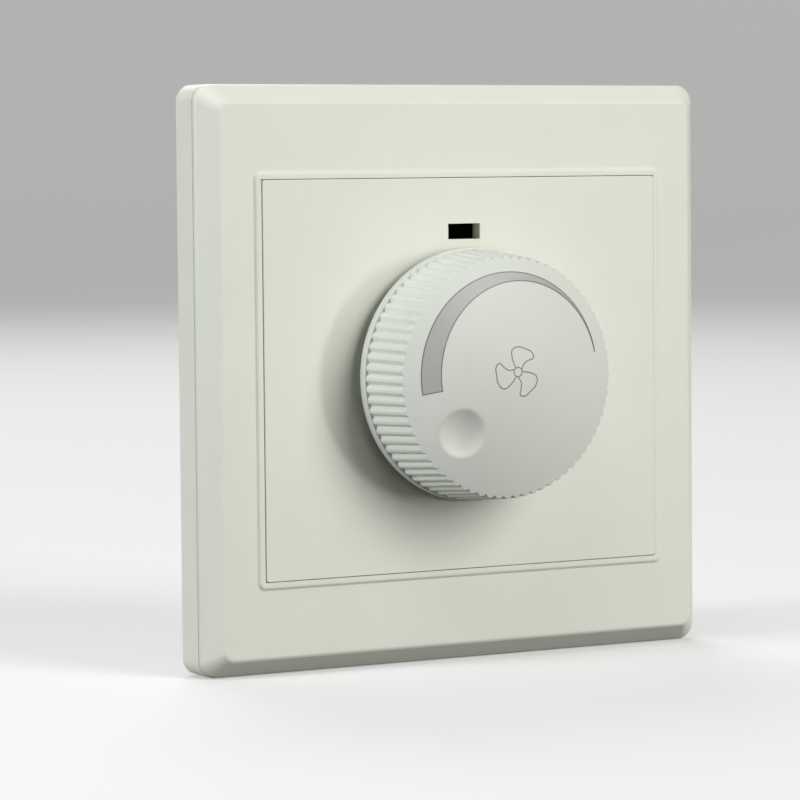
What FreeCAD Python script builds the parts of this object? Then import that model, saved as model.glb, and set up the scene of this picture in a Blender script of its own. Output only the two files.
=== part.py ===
import FreeCAD, Part
import Sketcher
import math
import os
from types import SimpleNamespace

# A wall-plate fan speed control. A square two-layer plate carries a turned knob in front and
# a box with the speed circuit behind. Lengths are in millimetres and angles in degrees.
# The origin is the centre of the plate on the wall. For a person who faces the plate, +X is to
# the right, +Z is up and +Y goes into the wall, so a depth in front of the wall is -Y.

sizes = {
    # base plate, the layer on the wall
    "plate_size": 86.0,
    "plate_corner": 2.5,
    "base_depth": 5.2,
    "rim_wall": 2.0,
    "back_rim": 3.0,
    "web_back": 1.5,
    "web_wall": 1.8,
    "seam_chamfer": 0.3,
    "fixing_spacing": 60.3,
    "fixing_width": 4.5,
    "fixing_length": 7.5,
    "fixing_boss_border": 2.5,
    "housing_slack": 0.3,
    "light_hole_width": 12.0,
    "light_hole_height": 4.0,
    # cover frame, the layer in front
    "face_depth": 8.8,
    "lip_height": 0.7,
    "bevel_inset": 2.6,
    "face_corner": 1.5,
    "face_wall": 1.8,
    "side_wall": 2.8,
    "face_round": 0.6,
    "lip_round": 0.4,
    "bead_width": 1.0,
    "bead_height": 0.3,
    "bead_corner": 1.0,
    "skirt_wall": 1.6,
    "hook_up": 22.0,
    "hook_width": 6.0,
    "hook_wall": 1.2,
    "hook_barb": 0.5,
    "hook_tip": 0.5,
    "hook_slack": 0.15,
    # centre panel
    "panel_width": 67.5,
    "panel_height": 58.3,
    "panel_corner": 0.4,
    "panel_gap": 0.2,
    "panel_wall": 2.0,
    "panel_proud": 0.1,
    "panel_round": 0.25,
    "panel_bore": 10.0,
    "window_width": 5.4,
    "window_height": 2.3,
    "leg_inset": 4.5,
    "leg_width": 4.0,
    "peg_radius": 1.0,
    "peg_slack": 0.1,
    # knob
    "knob_standoff": 1.5,
    "flange_radius": 18.8,
    "flange_wall": 1.55,
    "side_radius": 18.65,
    "rim_radius": 17.85,
    "side_depth": 10.4,
    "dome_rise": 3.2,
    "rim_round": 0.2,
    "knob_wall": 1.8,
    "serration_count": 72,
    "serration_depth": 0.5,
    "serration_width": 1.1,
    "dimple_width": 7.6,
    "dimple_sink": 0.95,
    "dimple_reach": 11.6,
    "dimple_angle": 222.0,
    "hub_radius": 5.2,
    "hub_split": 0.9,
    "hub_split_depth": 4.5,
    "hub_slack": 0.05,
    "rib_count": 6,
    "rib_wall": 1.2,
    "rib_back": 5.0,
    "ring_wall": 0.7,
    "ring_width": 2.5,
    "ring_back": 0.6,
    "ring_gap": 1.6,
    # potentiometer
    "shaft_radius": 3.0,
    "shaft_flat": 1.5,
    "shaft_insert": 9.0,
    "flat_runout": 0.5,
    "shaft_chamfer": 0.5,
    "shaft_running": 0.05,
    "clip_inner": 2.4,
    "clip_outer": 4.0,
    "clip_wall": 0.5,
    "clip_gap": 0.1,
    "thread_radius": 3.5,
    "thread_slack": 0.05,
    "bushing_length": 5.1,
    "pot_flange": 1.2,
    "pot_radius": 8.5,
    "can_depth": 6.8,
    "can_wall": 0.4,
    "key_up": 6.2,
    "key_width": 2.0,
    "key_height": 1.0,
    "key_length": 1.4,
    "key_slack": 0.2,
    "washer_radius": 5.6,
    "washer_wall": 0.5,
    "nut_flats": 10.0,
    "nut_sides": 6,
    "nut_wall": 2.0,
    "track_wall": 1.5,
    "track_slack": 0.2,
    "track_bore": 3.4,
    "tongue_width": 13.0,
    "tongue_reach": 13.0,
    "pin_spacing": 5.0,
    "pin_width": 1.4,
    "pin_wall": 0.4,
    "pin_rise": 3.5,
    "rotor_radius": 6.0,
    "rotor_wall": 2.5,
    "rotor_gap": 0.5,
    "wiper_wall": 0.25,
    "wiper_radius": 5.8,
    "turn_range": 270.0,
    "stop_half_angle": 18.0,
    "stop_slack_angle": 0.5,
    "stop_radius": 6.8,
    "lug_radius": 7.7,
    # circuit board and its screws
    "board_wall": 1.6,
    "board_gap": 0.4,
    "post_across": 14.5,
    "post_up": -10.0,
    "post_radius": 2.6,
    "board_screw_radius": 1.1,
    "board_screw_length": 5.0,
    "board_head_radius": 2.2,
    "board_head_height": 1.2,
    "screw_slack": 0.1,
    "screw_slot": 0.6,
    "lead_radius": 0.4,
    "lead_slack": 0.15,
    # rear housing and its screws
    "housing_width": 50.0,
    "housing_height": 54.0,
    "housing_corner": 3.0,
    "housing_wall": 1.8,
    "housing_round": 1.0,
    "boss_inset": 3.7,
    "boss_radius": 3.0,
    "housing_screw_radius": 1.25,
    "housing_screw_length": 9.0,
    "housing_head_radius": 2.4,
    "housing_head_height": 1.4,
    "vent_width": 1.6,
    "vent_length": 20.0,
    "vent_pitch": 4.0,
    "vent_up": 2.0,
    "vent_count": 5,
    # triac and heat sink
    "sink_gap": 2.2,
    "triac_up": 2.0,
    "triac_lead": 1.0,
    "triac_width": 10.0,
    "triac_body": 9.0,
    "triac_wall": 4.5,
    "triac_tab": 5.5,
    "triac_tab_wall": 1.3,
    "triac_hole": 1.8,
    "triac_pitch": 2.54,
    "sink_wall": 1.5,
    "sink_height": 22.0,
    "sink_pin_spacing": 18.0,
    "triac_screw_radius": 1.45,
    "triac_head_radius": 2.7,
    "triac_head_height": 2.0,
    "back_gap": 0.6,
    # choke
    "choke_gap": 3.2,
    "choke_up": 4.0,
    "choke_radius": 6.0,
    "choke_flange": 1.2,
    "choke_core_radius": 2.5,
    "choke_height": 11.0,
    "winding_radius": 5.4,
    "choke_pin_spacing": 6.0,
    # film capacitor
    "capacitor_gap": 5.2,
    "capacitor_width": 18.0,
    "capacitor_thick": 8.0,
    "capacitor_height": 12.0,
    "capacitor_pitch": 15.0,
    "capacitor_round": 0.8,
    # resistors and diac
    "axial_across": -3.0,
    "axial_reach": 2.0,
    "axial_lift": 0.3,
    "axial_gap": 2.4,
    "axial_step": 4.5,
    "resistor_radius": 1.6,
    "resistor_length": 9.0,
    "diac_step": 5.5,
    "diac_radius": 1.0,
    "diac_length": 4.2,
    # terminals
    "block_width": 22.0,
    "block_height": 10.5,
    "block_gap": 0.2,
    "clamp_across": 5.5,
    "clamp_width": 6.5,
    "clamp_height": 7.0,
    "clamp_length": 10.0,
    "clamp_slack": 0.1,
    "wire_radius": 1.7,
    "wire_depth": 8.0,
    "wire_hole_radius": 2.2,
    "clamp_screw_radius": 1.5,
    "clamp_screw_setback": 4.5,
    "clamp_head_radius": 2.2,
    "clamp_head_height": 1.5,
    "clamp_access_radius": 2.5,
    "clamp_pin_radius": 0.6,
    # indicator lamp
    "lamp_radius": 1.5,
    "lamp_flange_radius": 1.9,
    "lamp_flange": 1.0,
    "lamp_length": 5.0,
    "lamp_recess": 0.4,
    "lamp_gap": 4.0,
    "lamp_pitch": 2.54,
}


class Size:
    # A number together with the sheet formula that it comes from.
    def __init__(self, number, formula):
        self.number = number
        self.formula = formula

    def __add__(self, other):
        other = as_size(other)
        return Size(self.number + other.number, f"({self.formula} + {other.formula})")

    def __sub__(self, other):
        other = as_size(other)
        return Size(self.number - other.number, f"({self.formula} - {other.formula})")

    def __mul__(self, other):
        other = as_size(other)
        return Size(self.number * other.number, f"({self.formula} * {other.formula})")

    def __truediv__(self, other):
        other = as_size(other)
        return Size(self.number / other.number, f"({self.formula} / {other.formula})")

    def __rsub__(self, other):
        return as_size(other) - self

    def __rtruediv__(self, other):
        return as_size(other) / self

    def __neg__(self):
        return self * -1

    __radd__ = __add__
    __rmul__ = __mul__


def as_size(value):
    return value if isinstance(value, Size) else Size(value, f"({value})")


def cosine(angle):
    return Size(math.cos(math.radians(angle.number)), f"cos({angle.formula} * 1 deg)")


def sine(angle):
    return Size(math.sin(math.radians(angle.number)), f"sin({angle.formula} * 1 deg)")


def root(size):
    return Size(math.sqrt(size.number), f"sqrt({size.formula})")


def polar(radius, angle):
    return radius * cosine(angle), radius * sine(angle)


def sagitta_radius(half_width, rise):
    return (half_width * half_width + rise * rise) / (rise * 2)


def bind(thing, path, value):
    thing.setExpression(path, as_size(value).formula)


doc = FreeCAD.newDocument("fan_speed_control")
sheet = doc.addObject("Spreadsheet::Sheet", "Sizes")
for row, (name, number) in enumerate(sizes.items(), start=1):
    sheet.set(f"A{row}", name)
    sheet.set(f"B{row}", str(number))
    sheet.setAlias(f"B{row}", name)
doc.recompute()
d = SimpleNamespace(**{name: Size(number, f"Sizes.{name}") for name, number in sizes.items()})

# Depths in front of the wall, and behind it where negative.
web_front = d.web_back + d.web_wall
cover_depth = d.face_depth - d.base_depth
panel_front = d.face_depth + d.bead_height + d.panel_proud
panel_back = panel_front - d.panel_wall
knob_back = panel_front + d.knob_standoff
track_front = d.web_back - d.pot_flange
track_back = track_front - d.track_wall
rotor_front = track_back - d.rotor_gap
board_front = track_front - d.can_depth
board_back = board_front - d.board_wall
component_room = d.triac_lead + d.triac_body + d.triac_tab + d.back_gap
housing_inner_back = board_back - component_room
housing_depth = d.web_back - housing_inner_back + d.housing_wall

# Places across the plate that several pieces share.
opening_width = d.panel_width + d.panel_gap * 2
opening_height = d.panel_height + d.panel_gap * 2
hook_across = (opening_width / 2 + d.skirt_wall + d.plate_size / 2 - d.side_wall) / 2
leg_across = d.panel_width / 2 - d.leg_inset
leg_up = d.panel_height / 2 - d.leg_inset
boss_across = d.housing_width / 2 - d.boss_inset
boss_up = d.housing_height / 2 - d.boss_inset
wall_across = d.housing_width / 2 - d.housing_wall
wall_up = d.housing_height / 2 - d.housing_wall
window_up = wall_up - d.lamp_gap
triac_across = d.sink_gap + d.sink_wall + d.triac_wall / 2 - wall_across
choke_across = wall_across - d.choke_gap - d.choke_radius
capacitor_up = wall_up - d.capacitor_gap - d.capacitor_thick / 2
upper_resistor_up = capacitor_up - d.capacitor_thick / 2 - d.axial_gap - d.resistor_radius
lower_resistor_up = upper_resistor_up - d.axial_step
resistor_ups = [lower_resistor_up, upper_resistor_up]
diac_up = lower_resistor_up - d.diac_step
block_up = d.block_height / 2 + d.block_gap - wall_up
pin_up = d.pin_wall / 2 - d.tongue_reach
pin_places = [-d.pin_spacing, as_size(0), d.pin_spacing]
signs = [-1, 1]
post_places = [(d.post_across * side, d.post_up) for side in signs]
bodies = []


def corners_of(across, up):
    return [(across * side, up * level) for side in signs for level in signs]


def new_body(label, place=(0, 0, 0), many=False):
    body = doc.addObject("PartDesign::Body", label)
    body.Label = label
    body.AllowCompound = many
    for axis, value in zip("xyz", place):
        bind(body, f"Placement.Base.{axis}", value)
    bodies.append(body)
    return body


def origin_part(body, role):
    return next(part for part in body.Origin.OriginFeatures if part.Role == role)


def new_sketch(body, offset=0, role="XZ_Plane"):
    sketch = body.newObject("Sketcher::SketchObject", f"{body.Label}_sketch")
    sketch.AttachmentSupport = [(origin_part(body, role), "")]
    sketch.MapMode = "FlatFace"
    bind(sketch, "AttachmentOffset.Base.z", offset)
    return sketch


def vector(point):
    return FreeCAD.Vector(as_size(point[0]).number, as_size(point[1]).number, 0)


def constrain(sketch, size, kind, *geometry):
    index = sketch.addConstraint(Sketcher.Constraint(kind, *geometry, as_size(size).number))
    sketch.setExpression(f"Constraints[{index}]", as_size(size).formula)


def outline(sketch, corners, centres=None):
    # A closed outline through the corners. A side that has a centre is an arc about it.
    centres = centres or {}
    spots = [vector(corner) for corner in corners]
    first = sketch.GeometryCount
    ends = []
    for side, start in enumerate(spots):
        finish = spots[(side + 1) % len(spots)]
        if side not in centres:
            sketch.addGeometry(Part.LineSegment(start, finish), False)
            ends.append((1, 2))
            continue
        centre = vector(centres[side])
        rays = [start - centre, finish - centre]
        forwards = rays[0].cross(rays[1]).z > -1e-6
        if not forwards:
            rays.reverse()
        angles = [math.atan2(ray.y, ray.x) for ray in rays]
        ring = Part.Circle(centre, FreeCAD.Vector(0, 0, 1), rays[0].Length)
        sketch.addGeometry(Part.ArcOfCircle(ring, *angles), False)
        ends.append((1, 2) if forwards else (2, 1))
    for side, corner in enumerate(corners):
        after = (side + 1) % len(corners)
        joined = (first + side, ends[side][1], first + after, ends[after][0])
        sketch.addConstraint(Sketcher.Constraint("Coincident", *joined))
        constrain(sketch, corner[0], "DistanceX", -1, 1, first + side, ends[side][0])
        constrain(sketch, corner[1], "DistanceY", -1, 1, first + side, ends[side][0])
        if side in centres:
            constrain(sketch, centres[side][0], "DistanceX", -1, 1, first + side, 3)


def circle(sketch, centre, radius):
    ring = Part.Circle(vector(centre), FreeCAD.Vector(0, 0, 1), as_size(radius).number)
    index = sketch.addGeometry(ring, False)
    constrain(sketch, centre[0], "DistanceX", -1, 1, index, 3)
    constrain(sketch, centre[1], "DistanceY", -1, 1, index, 3)
    constrain(sketch, radius, "Radius", index)


def rectangle(sketch, centre, width, height):
    low = [centre[0] - width / 2, centre[1] - height / 2]
    high = [centre[0] + width / 2, centre[1] + height / 2]
    outline(sketch, [(low[0], low[1]), (high[0], low[1]), (high[0], high[1]), (low[0], high[1])])


def rounded_rectangle(sketch, width, height, radius):
    across = width / 2
    up = height / 2
    inner_across = across - radius
    inner_up = up - radius
    corners = [(-inner_across, -up), (inner_across, -up), (across, -inner_up), (across, inner_up),
               (inner_across, up), (-inner_across, up), (-across, inner_up), (-across, -inner_up)]
    centres = {1: (inner_across, -inner_up), 3: (inner_across, inner_up),
               5: (-inner_across, inner_up), 7: (-inner_across, -inner_up)}
    outline(sketch, corners, centres)


def slot(sketch, centre, length, width):
    half = (length - width) / 2
    low = centre[1] - width / 2
    high = centre[1] + width / 2
    left = centre[0] - half
    right = centre[0] + half
    corners = [(left, low), (right, low), (right, high), (left, high)]
    outline(sketch, corners, {1: (right, centre[1]), 3: (left, centre[1])})


def pad(body, sketch, length, back=False):
    feature = body.newObject("PartDesign::Pad", f"{body.Label}_pad")
    feature.Profile = sketch
    bind(feature, "Length", length)
    feature.Reversed = back
    return feature


def pocket(body, sketch, length=None, forward=False):
    feature = body.newObject("PartDesign::Pocket", f"{body.Label}_pocket")
    feature.Profile = sketch
    if length is None:
        feature.Type = "ThroughAll"
    else:
        bind(feature, "Length", length)
    feature.Reversed = forward
    return feature


def revolve(body, corners, centres=None):
    # The corners are (radius, depth), with depth counted forwards along -Y.
    sketch = new_sketch(body, role="XY_Plane")
    turned = {side: (point[0], -point[1]) for side, point in (centres or {}).items()}
    outline(sketch, [(radius, -depth) for radius, depth in corners], turned)
    feature = body.newObject("PartDesign::Revolution", f"{body.Label}_turning")
    feature.Profile = sketch
    feature.ReferenceAxis = (sketch, ["V_Axis"])
    feature.Angle = 360
    return feature


def polar_pattern(body, originals, count):
    pattern = body.newObject("PartDesign::PolarPattern", f"{body.Label}_pattern")
    pattern.Originals = originals
    pattern.Axis = (origin_part(body, "Y_Axis"), [""])
    pattern.Angle = 360
    bind(pattern, "Occurrences", count)
    body.Tip = pattern
    return pattern


def dress(body, kind, path, size, base, chosen):
    # A fillet or chamfer on the edges of the base feature that the test picks.
    doc.recompute()
    edges = [f"Edge{index}" for index, edge in enumerate(base.Shape.Edges, start=1) if chosen(edge)]
    feature = body.newObject(f"PartDesign::{kind}", f"{body.Label}_{kind.lower()}")
    feature.Base = (base, edges)
    bind(feature, path, size)
    return feature


def at_depth(edge, depth):
    box = edge.BoundBox
    return abs(box.YMin + depth.number) < 1e-4 and abs(box.YMax + depth.number) < 1e-4


def make_base_plate():
    body = new_body("base_plate")
    plate = new_sketch(body)
    rounded_rectangle(plate, d.plate_size, d.plate_size, d.plate_corner)
    block = pad(body, plate, d.base_depth)
    dress(body, "Chamfer", "Size", d.seam_chamfer, block, lambda edge: at_depth(edge, d.base_depth))
    tray = new_sketch(body, d.base_depth)
    inner = d.plate_size - d.rim_wall * 2
    rounded_rectangle(tray, inner, inner, d.plate_corner / 2)
    pocket(body, tray, d.base_depth - web_front)
    recess = new_sketch(body)
    inner = d.plate_size - d.back_rim * 2
    rounded_rectangle(recess, inner, inner, d.plate_corner / 2)
    pocket(body, recess, d.web_back, forward=True)
    fixing_places = [(d.fixing_spacing / 2 * side, as_size(0)) for side in signs]
    # Each fixing slot has a boss that bears on the wall, beside the housing.
    boss_in = d.housing_width / 2 + d.housing_slack
    boss_out = d.fixing_spacing / 2 + d.fixing_length / 2 + d.fixing_boss_border
    bosses = new_sketch(body, d.web_back)
    for side in signs:
        rectangle(bosses, ((boss_in + boss_out) / 2 * side, as_size(0)), boss_out - boss_in,
                  d.fixing_width + d.fixing_boss_border * 2)
    pad(body, bosses, d.web_back, back=True)
    posts = new_sketch(body, d.web_back)
    for place in post_places:
        circle(posts, place, d.post_radius)
    pad(body, posts, d.web_back - board_front, back=True)
    pilots = new_sketch(body, board_front)
    for place in post_places:
        circle(pilots, place, d.board_screw_radius + d.screw_slack)
    pocket(body, pilots, d.board_screw_length, forward=True)
    slots = new_sketch(body, d.base_depth)
    for place in fixing_places:
        slot(slots, place, d.fixing_length, d.fixing_width)
    pocket(body, slots)
    pot_hole = new_sketch(body, d.base_depth)
    circle(pot_hole, (0, 0), d.thread_radius + d.thread_slack)
    rectangle(pot_hole, (as_size(0), d.key_up), d.key_width + d.key_slack * 2, d.key_height + d.key_slack * 2)
    pocket(body, pot_hole)
    light = new_sketch(body, d.base_depth)
    rectangle(light, (as_size(0), window_up), d.light_hole_width, d.light_hole_height)
    pocket(body, light)
    screw_holes = new_sketch(body, d.base_depth)
    for place in corners_of(boss_across, boss_up):
        circle(screw_holes, place, d.housing_screw_radius + d.screw_slack)
    pocket(body, screw_holes)
    peg_holes = new_sketch(body, d.base_depth)
    for place in corners_of(leg_across, leg_up):
        circle(peg_holes, place, d.peg_radius + d.peg_slack)
    pocket(body, peg_holes)
    hook_holes = new_sketch(body, d.base_depth)
    for across, up in corners_of(hook_across, d.hook_up):
        rectangle(hook_holes, (across, up), d.hook_wall + (d.hook_barb + d.hook_slack) * 2,
                  d.hook_width + d.hook_slack * 2)
    pocket(body, hook_holes)


def make_cover_frame():
    body = new_body("cover_frame", (0, -d.base_depth, 0))
    lip = new_sketch(body)
    rounded_rectangle(lip, d.plate_size, d.plate_size, d.plate_corner)
    pad(body, lip, d.lip_height)
    lower = new_sketch(body, d.lip_height)
    rounded_rectangle(lower, d.plate_size, d.plate_size, d.plate_corner)
    upper = new_sketch(body, cover_depth)
    face_size = d.plate_size - d.bevel_inset * 2
    rounded_rectangle(upper, face_size, face_size, d.face_corner)
    bevel = body.newObject("PartDesign::AdditiveLoft", "cover_frame_bevel")
    bevel.Profile = lower
    bevel.Sections = [upper]
    bevel.Ruled = True
    soft_face = dress(body, "Fillet", "Radius", d.face_round, bevel,
                      lambda edge: at_depth(edge, cover_depth))
    dress(body, "Fillet", "Radius", d.lip_round, soft_face,
          lambda edge: at_depth(edge, d.lip_height))
    bead = new_sketch(body, cover_depth)
    border = d.bead_width * 2
    rounded_rectangle(bead, opening_width + border, opening_height + border, d.bead_corner)
    pad(body, bead, d.bead_height)
    opening = new_sketch(body, cover_depth + d.bead_height)
    rectangle(opening, (as_size(0), as_size(0)), opening_width, opening_height)
    pocket(body, opening)
    hollow = new_sketch(body)
    inner = d.plate_size - d.side_wall * 2
    rounded_rectangle(hollow, inner, inner, d.face_corner / 2)
    skirt = d.skirt_wall * 2
    rectangle(hollow, (as_size(0), as_size(0)), opening_width + skirt, opening_height + skirt)
    hollow_depth = cover_depth - d.face_wall
    pocket(body, hollow, hollow_depth, forward=True)
    stems = new_sketch(body, hollow_depth)
    for across, up in corners_of(hook_across, d.hook_up):
        rectangle(stems, (across, up), d.hook_wall, d.hook_width)
    pad(body, stems, hollow_depth + d.base_depth - d.hook_tip, back=True)
    barbs = new_sketch(body, d.hook_tip - d.base_depth)
    for side in signs:
        for level in signs:
            across = (hook_across + d.hook_barb / 2) * side
            rectangle(barbs, (across, d.hook_up * level), d.hook_wall + d.hook_barb, d.hook_width)
    pad(body, barbs, d.web_back - d.hook_tip - d.hook_slack)


def make_centre_panel():
    body = new_body("centre_panel", (0, -panel_back, 0))
    sheet_sketch = new_sketch(body)
    rounded_rectangle(sheet_sketch, d.panel_width, d.panel_height, d.panel_corner)
    face = pad(body, sheet_sketch, d.panel_wall)
    dress(body, "Fillet", "Radius", d.panel_round, face, lambda edge: at_depth(edge, d.panel_wall))
    holes = new_sketch(body, d.panel_wall)
    circle(holes, (0, 0), d.panel_bore / 2)
    rectangle(holes, (as_size(0), window_up), d.window_width, d.window_height)
    pocket(body, holes)
    legs = new_sketch(body)
    for place in corners_of(leg_across, leg_up):
        rectangle(legs, place, d.leg_width, d.leg_width)
    pad(body, legs, panel_back - web_front, back=True)
    pegs = new_sketch(body, web_front - panel_back)
    for place in corners_of(leg_across, leg_up):
        circle(pegs, place, d.peg_radius)
    pad(body, pegs, d.web_wall - d.peg_slack, back=True)


def make_knob():
    body = new_body("knob", (0, -knob_back, 0))
    apex = d.side_depth + d.dome_rise
    inner_radius = d.rim_radius - d.knob_wall
    inner_apex = apex - d.knob_wall
    inner_rim = d.side_depth - d.knob_wall * 2 / 3
    dome_radius = sagitta_radius(d.rim_radius, d.dome_rise)
    dome_centre = apex - dome_radius
    # The face meets the side in a rounded rim, which is tangent to the dome.
    rim_centre = d.rim_radius - d.rim_round
    dome_edge = rim_centre / (1 - d.rim_round / dome_radius)
    edge_rise = root(dome_radius * dome_radius - dome_edge * dome_edge)
    rim_depth = dome_centre + edge_rise * (1 - d.rim_round / dome_radius)
    shell = [(d.flange_radius, 0), (d.flange_radius, d.flange_wall), (d.side_radius, d.flange_wall),
             (d.rim_radius, rim_depth), (dome_edge, dome_centre + edge_rise), (0, apex), (0, inner_apex),
             (inner_radius, inner_rim), (inner_radius, 0)]
    inner_centre = inner_apex - sagitta_radius(inner_radius, inner_apex - inner_rim)
    revolve(body, [(as_size(radius), as_size(depth)) for radius, depth in shell],
            {3: (rim_centre, rim_depth), 4: (as_size(0), dome_centre), 6: (as_size(0), inner_centre)})
    hub = new_sketch(body)
    circle(hub, (0, 0), d.hub_radius)
    pad(body, hub, apex - d.knob_wall / 2)
    # Each rib runs from inside the hub to inside the side wall, with its front edge in the face.
    rib = new_sketch(body, -d.rib_wall / 2, "XY_Plane")
    rib_in = d.hub_radius - d.rib_wall / 2
    rib_out = inner_radius + d.knob_wall / 3
    outline(rib, [(rib_in, -d.rib_back), (rib_out, -d.rib_back), (rib_out, -(inner_rim + d.knob_wall / 2)),
                  (rib_in, -(inner_apex + d.knob_wall / 3))])
    rib_pad = pad(body, rib, d.rib_wall)
    polar_pattern(body, [rib_pad], d.rib_count)
    bore = new_sketch(body)
    bore_radius = d.shaft_radius + d.hub_slack
    bore_flat = d.shaft_flat + d.hub_slack
    chord = root(bore_radius * bore_radius - bore_flat * bore_flat)
    centre = (as_size(0), as_size(0))
    bore_corners = [(bore_flat, -chord), (bore_flat, chord), (-bore_radius, as_size(0))]
    outline(bore, bore_corners, {1: centre, 2: centre})
    pocket(body, bore, d.shaft_insert + d.hub_slack, forward=True)
    split = new_sketch(body)
    rectangle(split, centre, d.hub_radius * 2 + d.hub_split, d.hub_split)
    pocket(body, split, d.hub_split_depth, forward=True)
    # The finger dimple is a shallow dish, square to the dome where it lies.
    dish_radius = sagitta_radius(d.dimple_width / 2, d.dimple_sink)
    lift = dish_radius - d.dimple_sink
    level = root(dome_radius * dome_radius - d.dimple_reach * d.dimple_reach)
    reach = d.dimple_reach * (lift / dome_radius + 1)
    across, up = polar(reach, d.dimple_angle)
    dish_depth = dome_centre + level * (lift / dome_radius + 1)
    dimple = body.newObject("PartDesign::SubtractiveSphere", "knob_dimple")
    bind(dimple, "Radius", dish_radius)
    for axis, value in zip("xyz", (across, -dish_depth, up)):
        bind(dimple, f"Placement.Base.{axis}", value)
    # Each serration is a V-shaped groove from the flange to the rim, which leans in with the side.
    serration = new_sketch(body, d.flange_wall)
    root_radius = d.side_radius - d.serration_depth
    mouth = d.serration_depth + d.serration_depth / 5
    mouth_half = d.serration_width / 2 * mouth / d.serration_depth
    outline(serration, [(root_radius, as_size(0)), (root_radius + mouth, -mouth_half),
                        (root_radius + mouth, mouth_half)])
    groove = pocket(body, serration, apex, forward=True)
    groove.UseCustomVector = True
    groove.AlongSketchNormal = True
    bind(groove, "Direction.x", d.side_radius - d.rim_radius)
    bind(groove, "Direction.y", rim_depth - d.flange_wall)
    bind(groove, "Direction.z", 0)
    polar_pattern(body, [groove], d.serration_count)


def make_hub_ring():
    body = new_body("hub_ring", (0, -knob_back, 0))
    band = new_sketch(body, d.ring_back)
    circle(band, (0, 0), d.hub_radius)
    circle(band, (0, 0), d.hub_radius + d.ring_wall)
    pad(body, band, d.ring_width)
    gap = new_sketch(body, d.ring_back + d.ring_width)
    rectangle(gap, (as_size(0), d.hub_radius), d.ring_gap, d.ring_wall * 4)
    pocket(body, gap)


def make_pot_shaft():
    rotor_back = rotor_front - d.rotor_wall
    body = new_body("pot_shaft", (0, -rotor_back, 0))
    length = knob_back + d.shaft_insert - rotor_back
    clip_back = d.web_back + d.bushing_length + d.clip_gap - rotor_back
    clip_front = clip_back + d.clip_wall
    tip = d.shaft_radius - d.shaft_chamfer
    zero = as_size(0)
    revolve(body, [(zero, zero), (d.shaft_radius, zero), (d.shaft_radius, clip_back),
                   (d.clip_inner, clip_back), (d.clip_inner, clip_front), (d.shaft_radius, clip_front),
                   (d.shaft_radius, length - d.shaft_chamfer), (tip, length), (zero, length)])
    flat = new_sketch(body, length)
    wide = d.shaft_radius * 2
    rectangle(flat, (d.shaft_flat + wide / 2, zero), wide, wide * 2)
    pocket(body, flat, d.shaft_insert + d.flat_runout)


def make_shaft_clip():
    body = new_body("shaft_clip", (0, -(d.web_back + d.bushing_length + d.clip_gap), 0))
    ring = new_sketch(body)
    circle(ring, (0, 0), d.clip_inner)
    circle(ring, (0, 0), d.clip_outer)
    pad(body, ring, d.clip_wall)
    mouth = new_sketch(body, d.clip_wall)
    rectangle(mouth, (as_size(0), -d.clip_outer), d.clip_inner * 3 / 2, d.clip_outer * 3 / 2)
    pocket(body, mouth)


def make_pot_rotor():
    body = new_body("pot_rotor", (0, -rotor_front, 0))
    disc = new_sketch(body)
    circle(disc, (0, 0), d.rotor_radius)
    circle(disc, (0, 0), d.shaft_radius)
    pad(body, disc, d.rotor_wall, back=True)
    # At the end of its travel the lug meets the stop of the can, which is at the bottom.
    travel_half = (360 - d.turn_range) / 2
    lug_angle = 270 - travel_half
    half_angle = travel_half - d.stop_half_angle - d.stop_slack_angle
    inside = (d.rotor_radius + d.shaft_radius) / 2
    lug = new_sketch(body)
    outline(lug, [polar(inside, lug_angle - half_angle), polar(d.lug_radius, lug_angle - half_angle),
                  polar(d.lug_radius, lug_angle), polar(d.lug_radius, lug_angle + half_angle),
                  polar(inside, lug_angle + half_angle)])
    pad(body, lug, d.rotor_wall, back=True)


def make_wiper():
    body = new_body("wiper", (0, -rotor_front, 0))
    ring = new_sketch(body)
    circle(ring, (0, 0), d.shaft_radius + d.track_slack)
    circle(ring, (0, 0), d.wiper_radius)
    pad(body, ring, d.wiper_wall)


def make_pot_bushing():
    body = new_body("pot_bushing", (0, -track_front, 0))
    bore = d.shaft_radius + d.shaft_running
    length = d.pot_flange + d.bushing_length
    zero = as_size(0)
    revolve(body, [(bore, zero), (d.pot_radius, zero), (d.pot_radius, d.pot_flange),
                   (d.thread_radius, d.pot_flange), (d.thread_radius, length), (bore, length)])
    key = new_sketch(body, d.pot_flange)
    rectangle(key, (zero, d.key_up), d.key_width, d.key_height)
    pad(body, key, d.key_length)


def make_pot_washer():
    body = new_body("pot_washer", (0, -web_front, 0))
    ring = new_sketch(body)
    circle(ring, (0, 0), d.thread_radius + d.thread_slack)
    circle(ring, (0, 0), d.washer_radius)
    pad(body, ring, d.washer_wall)


def make_pot_nut():
    body = new_body("pot_nut", (0, -(web_front + d.washer_wall), 0))
    hexagon = new_sketch(body)
    turn = 360 / d.nut_sides
    corner = d.nut_flats / 2 / cosine(turn / 2)
    outline(hexagon, [polar(corner, turn * step) for step in range(sizes["nut_sides"])])
    circle(hexagon, (0, 0), d.thread_radius + d.thread_slack)
    pad(body, hexagon, d.nut_wall)


def make_pot_track():
    body = new_body("pot_track", (0, -track_back, 0))
    disc = new_sketch(body)
    circle(disc, (0, 0), d.pot_radius - d.can_wall - d.track_slack)
    pad(body, disc, d.track_wall)
    tongue = new_sketch(body)
    rectangle(tongue, (as_size(0), -d.tongue_reach / 2), d.tongue_width, d.tongue_reach)
    pad(body, tongue, d.track_wall)
    bore = new_sketch(body, d.track_wall)
    circle(bore, (0, 0), d.track_bore)
    pocket(body, bore)


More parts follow.
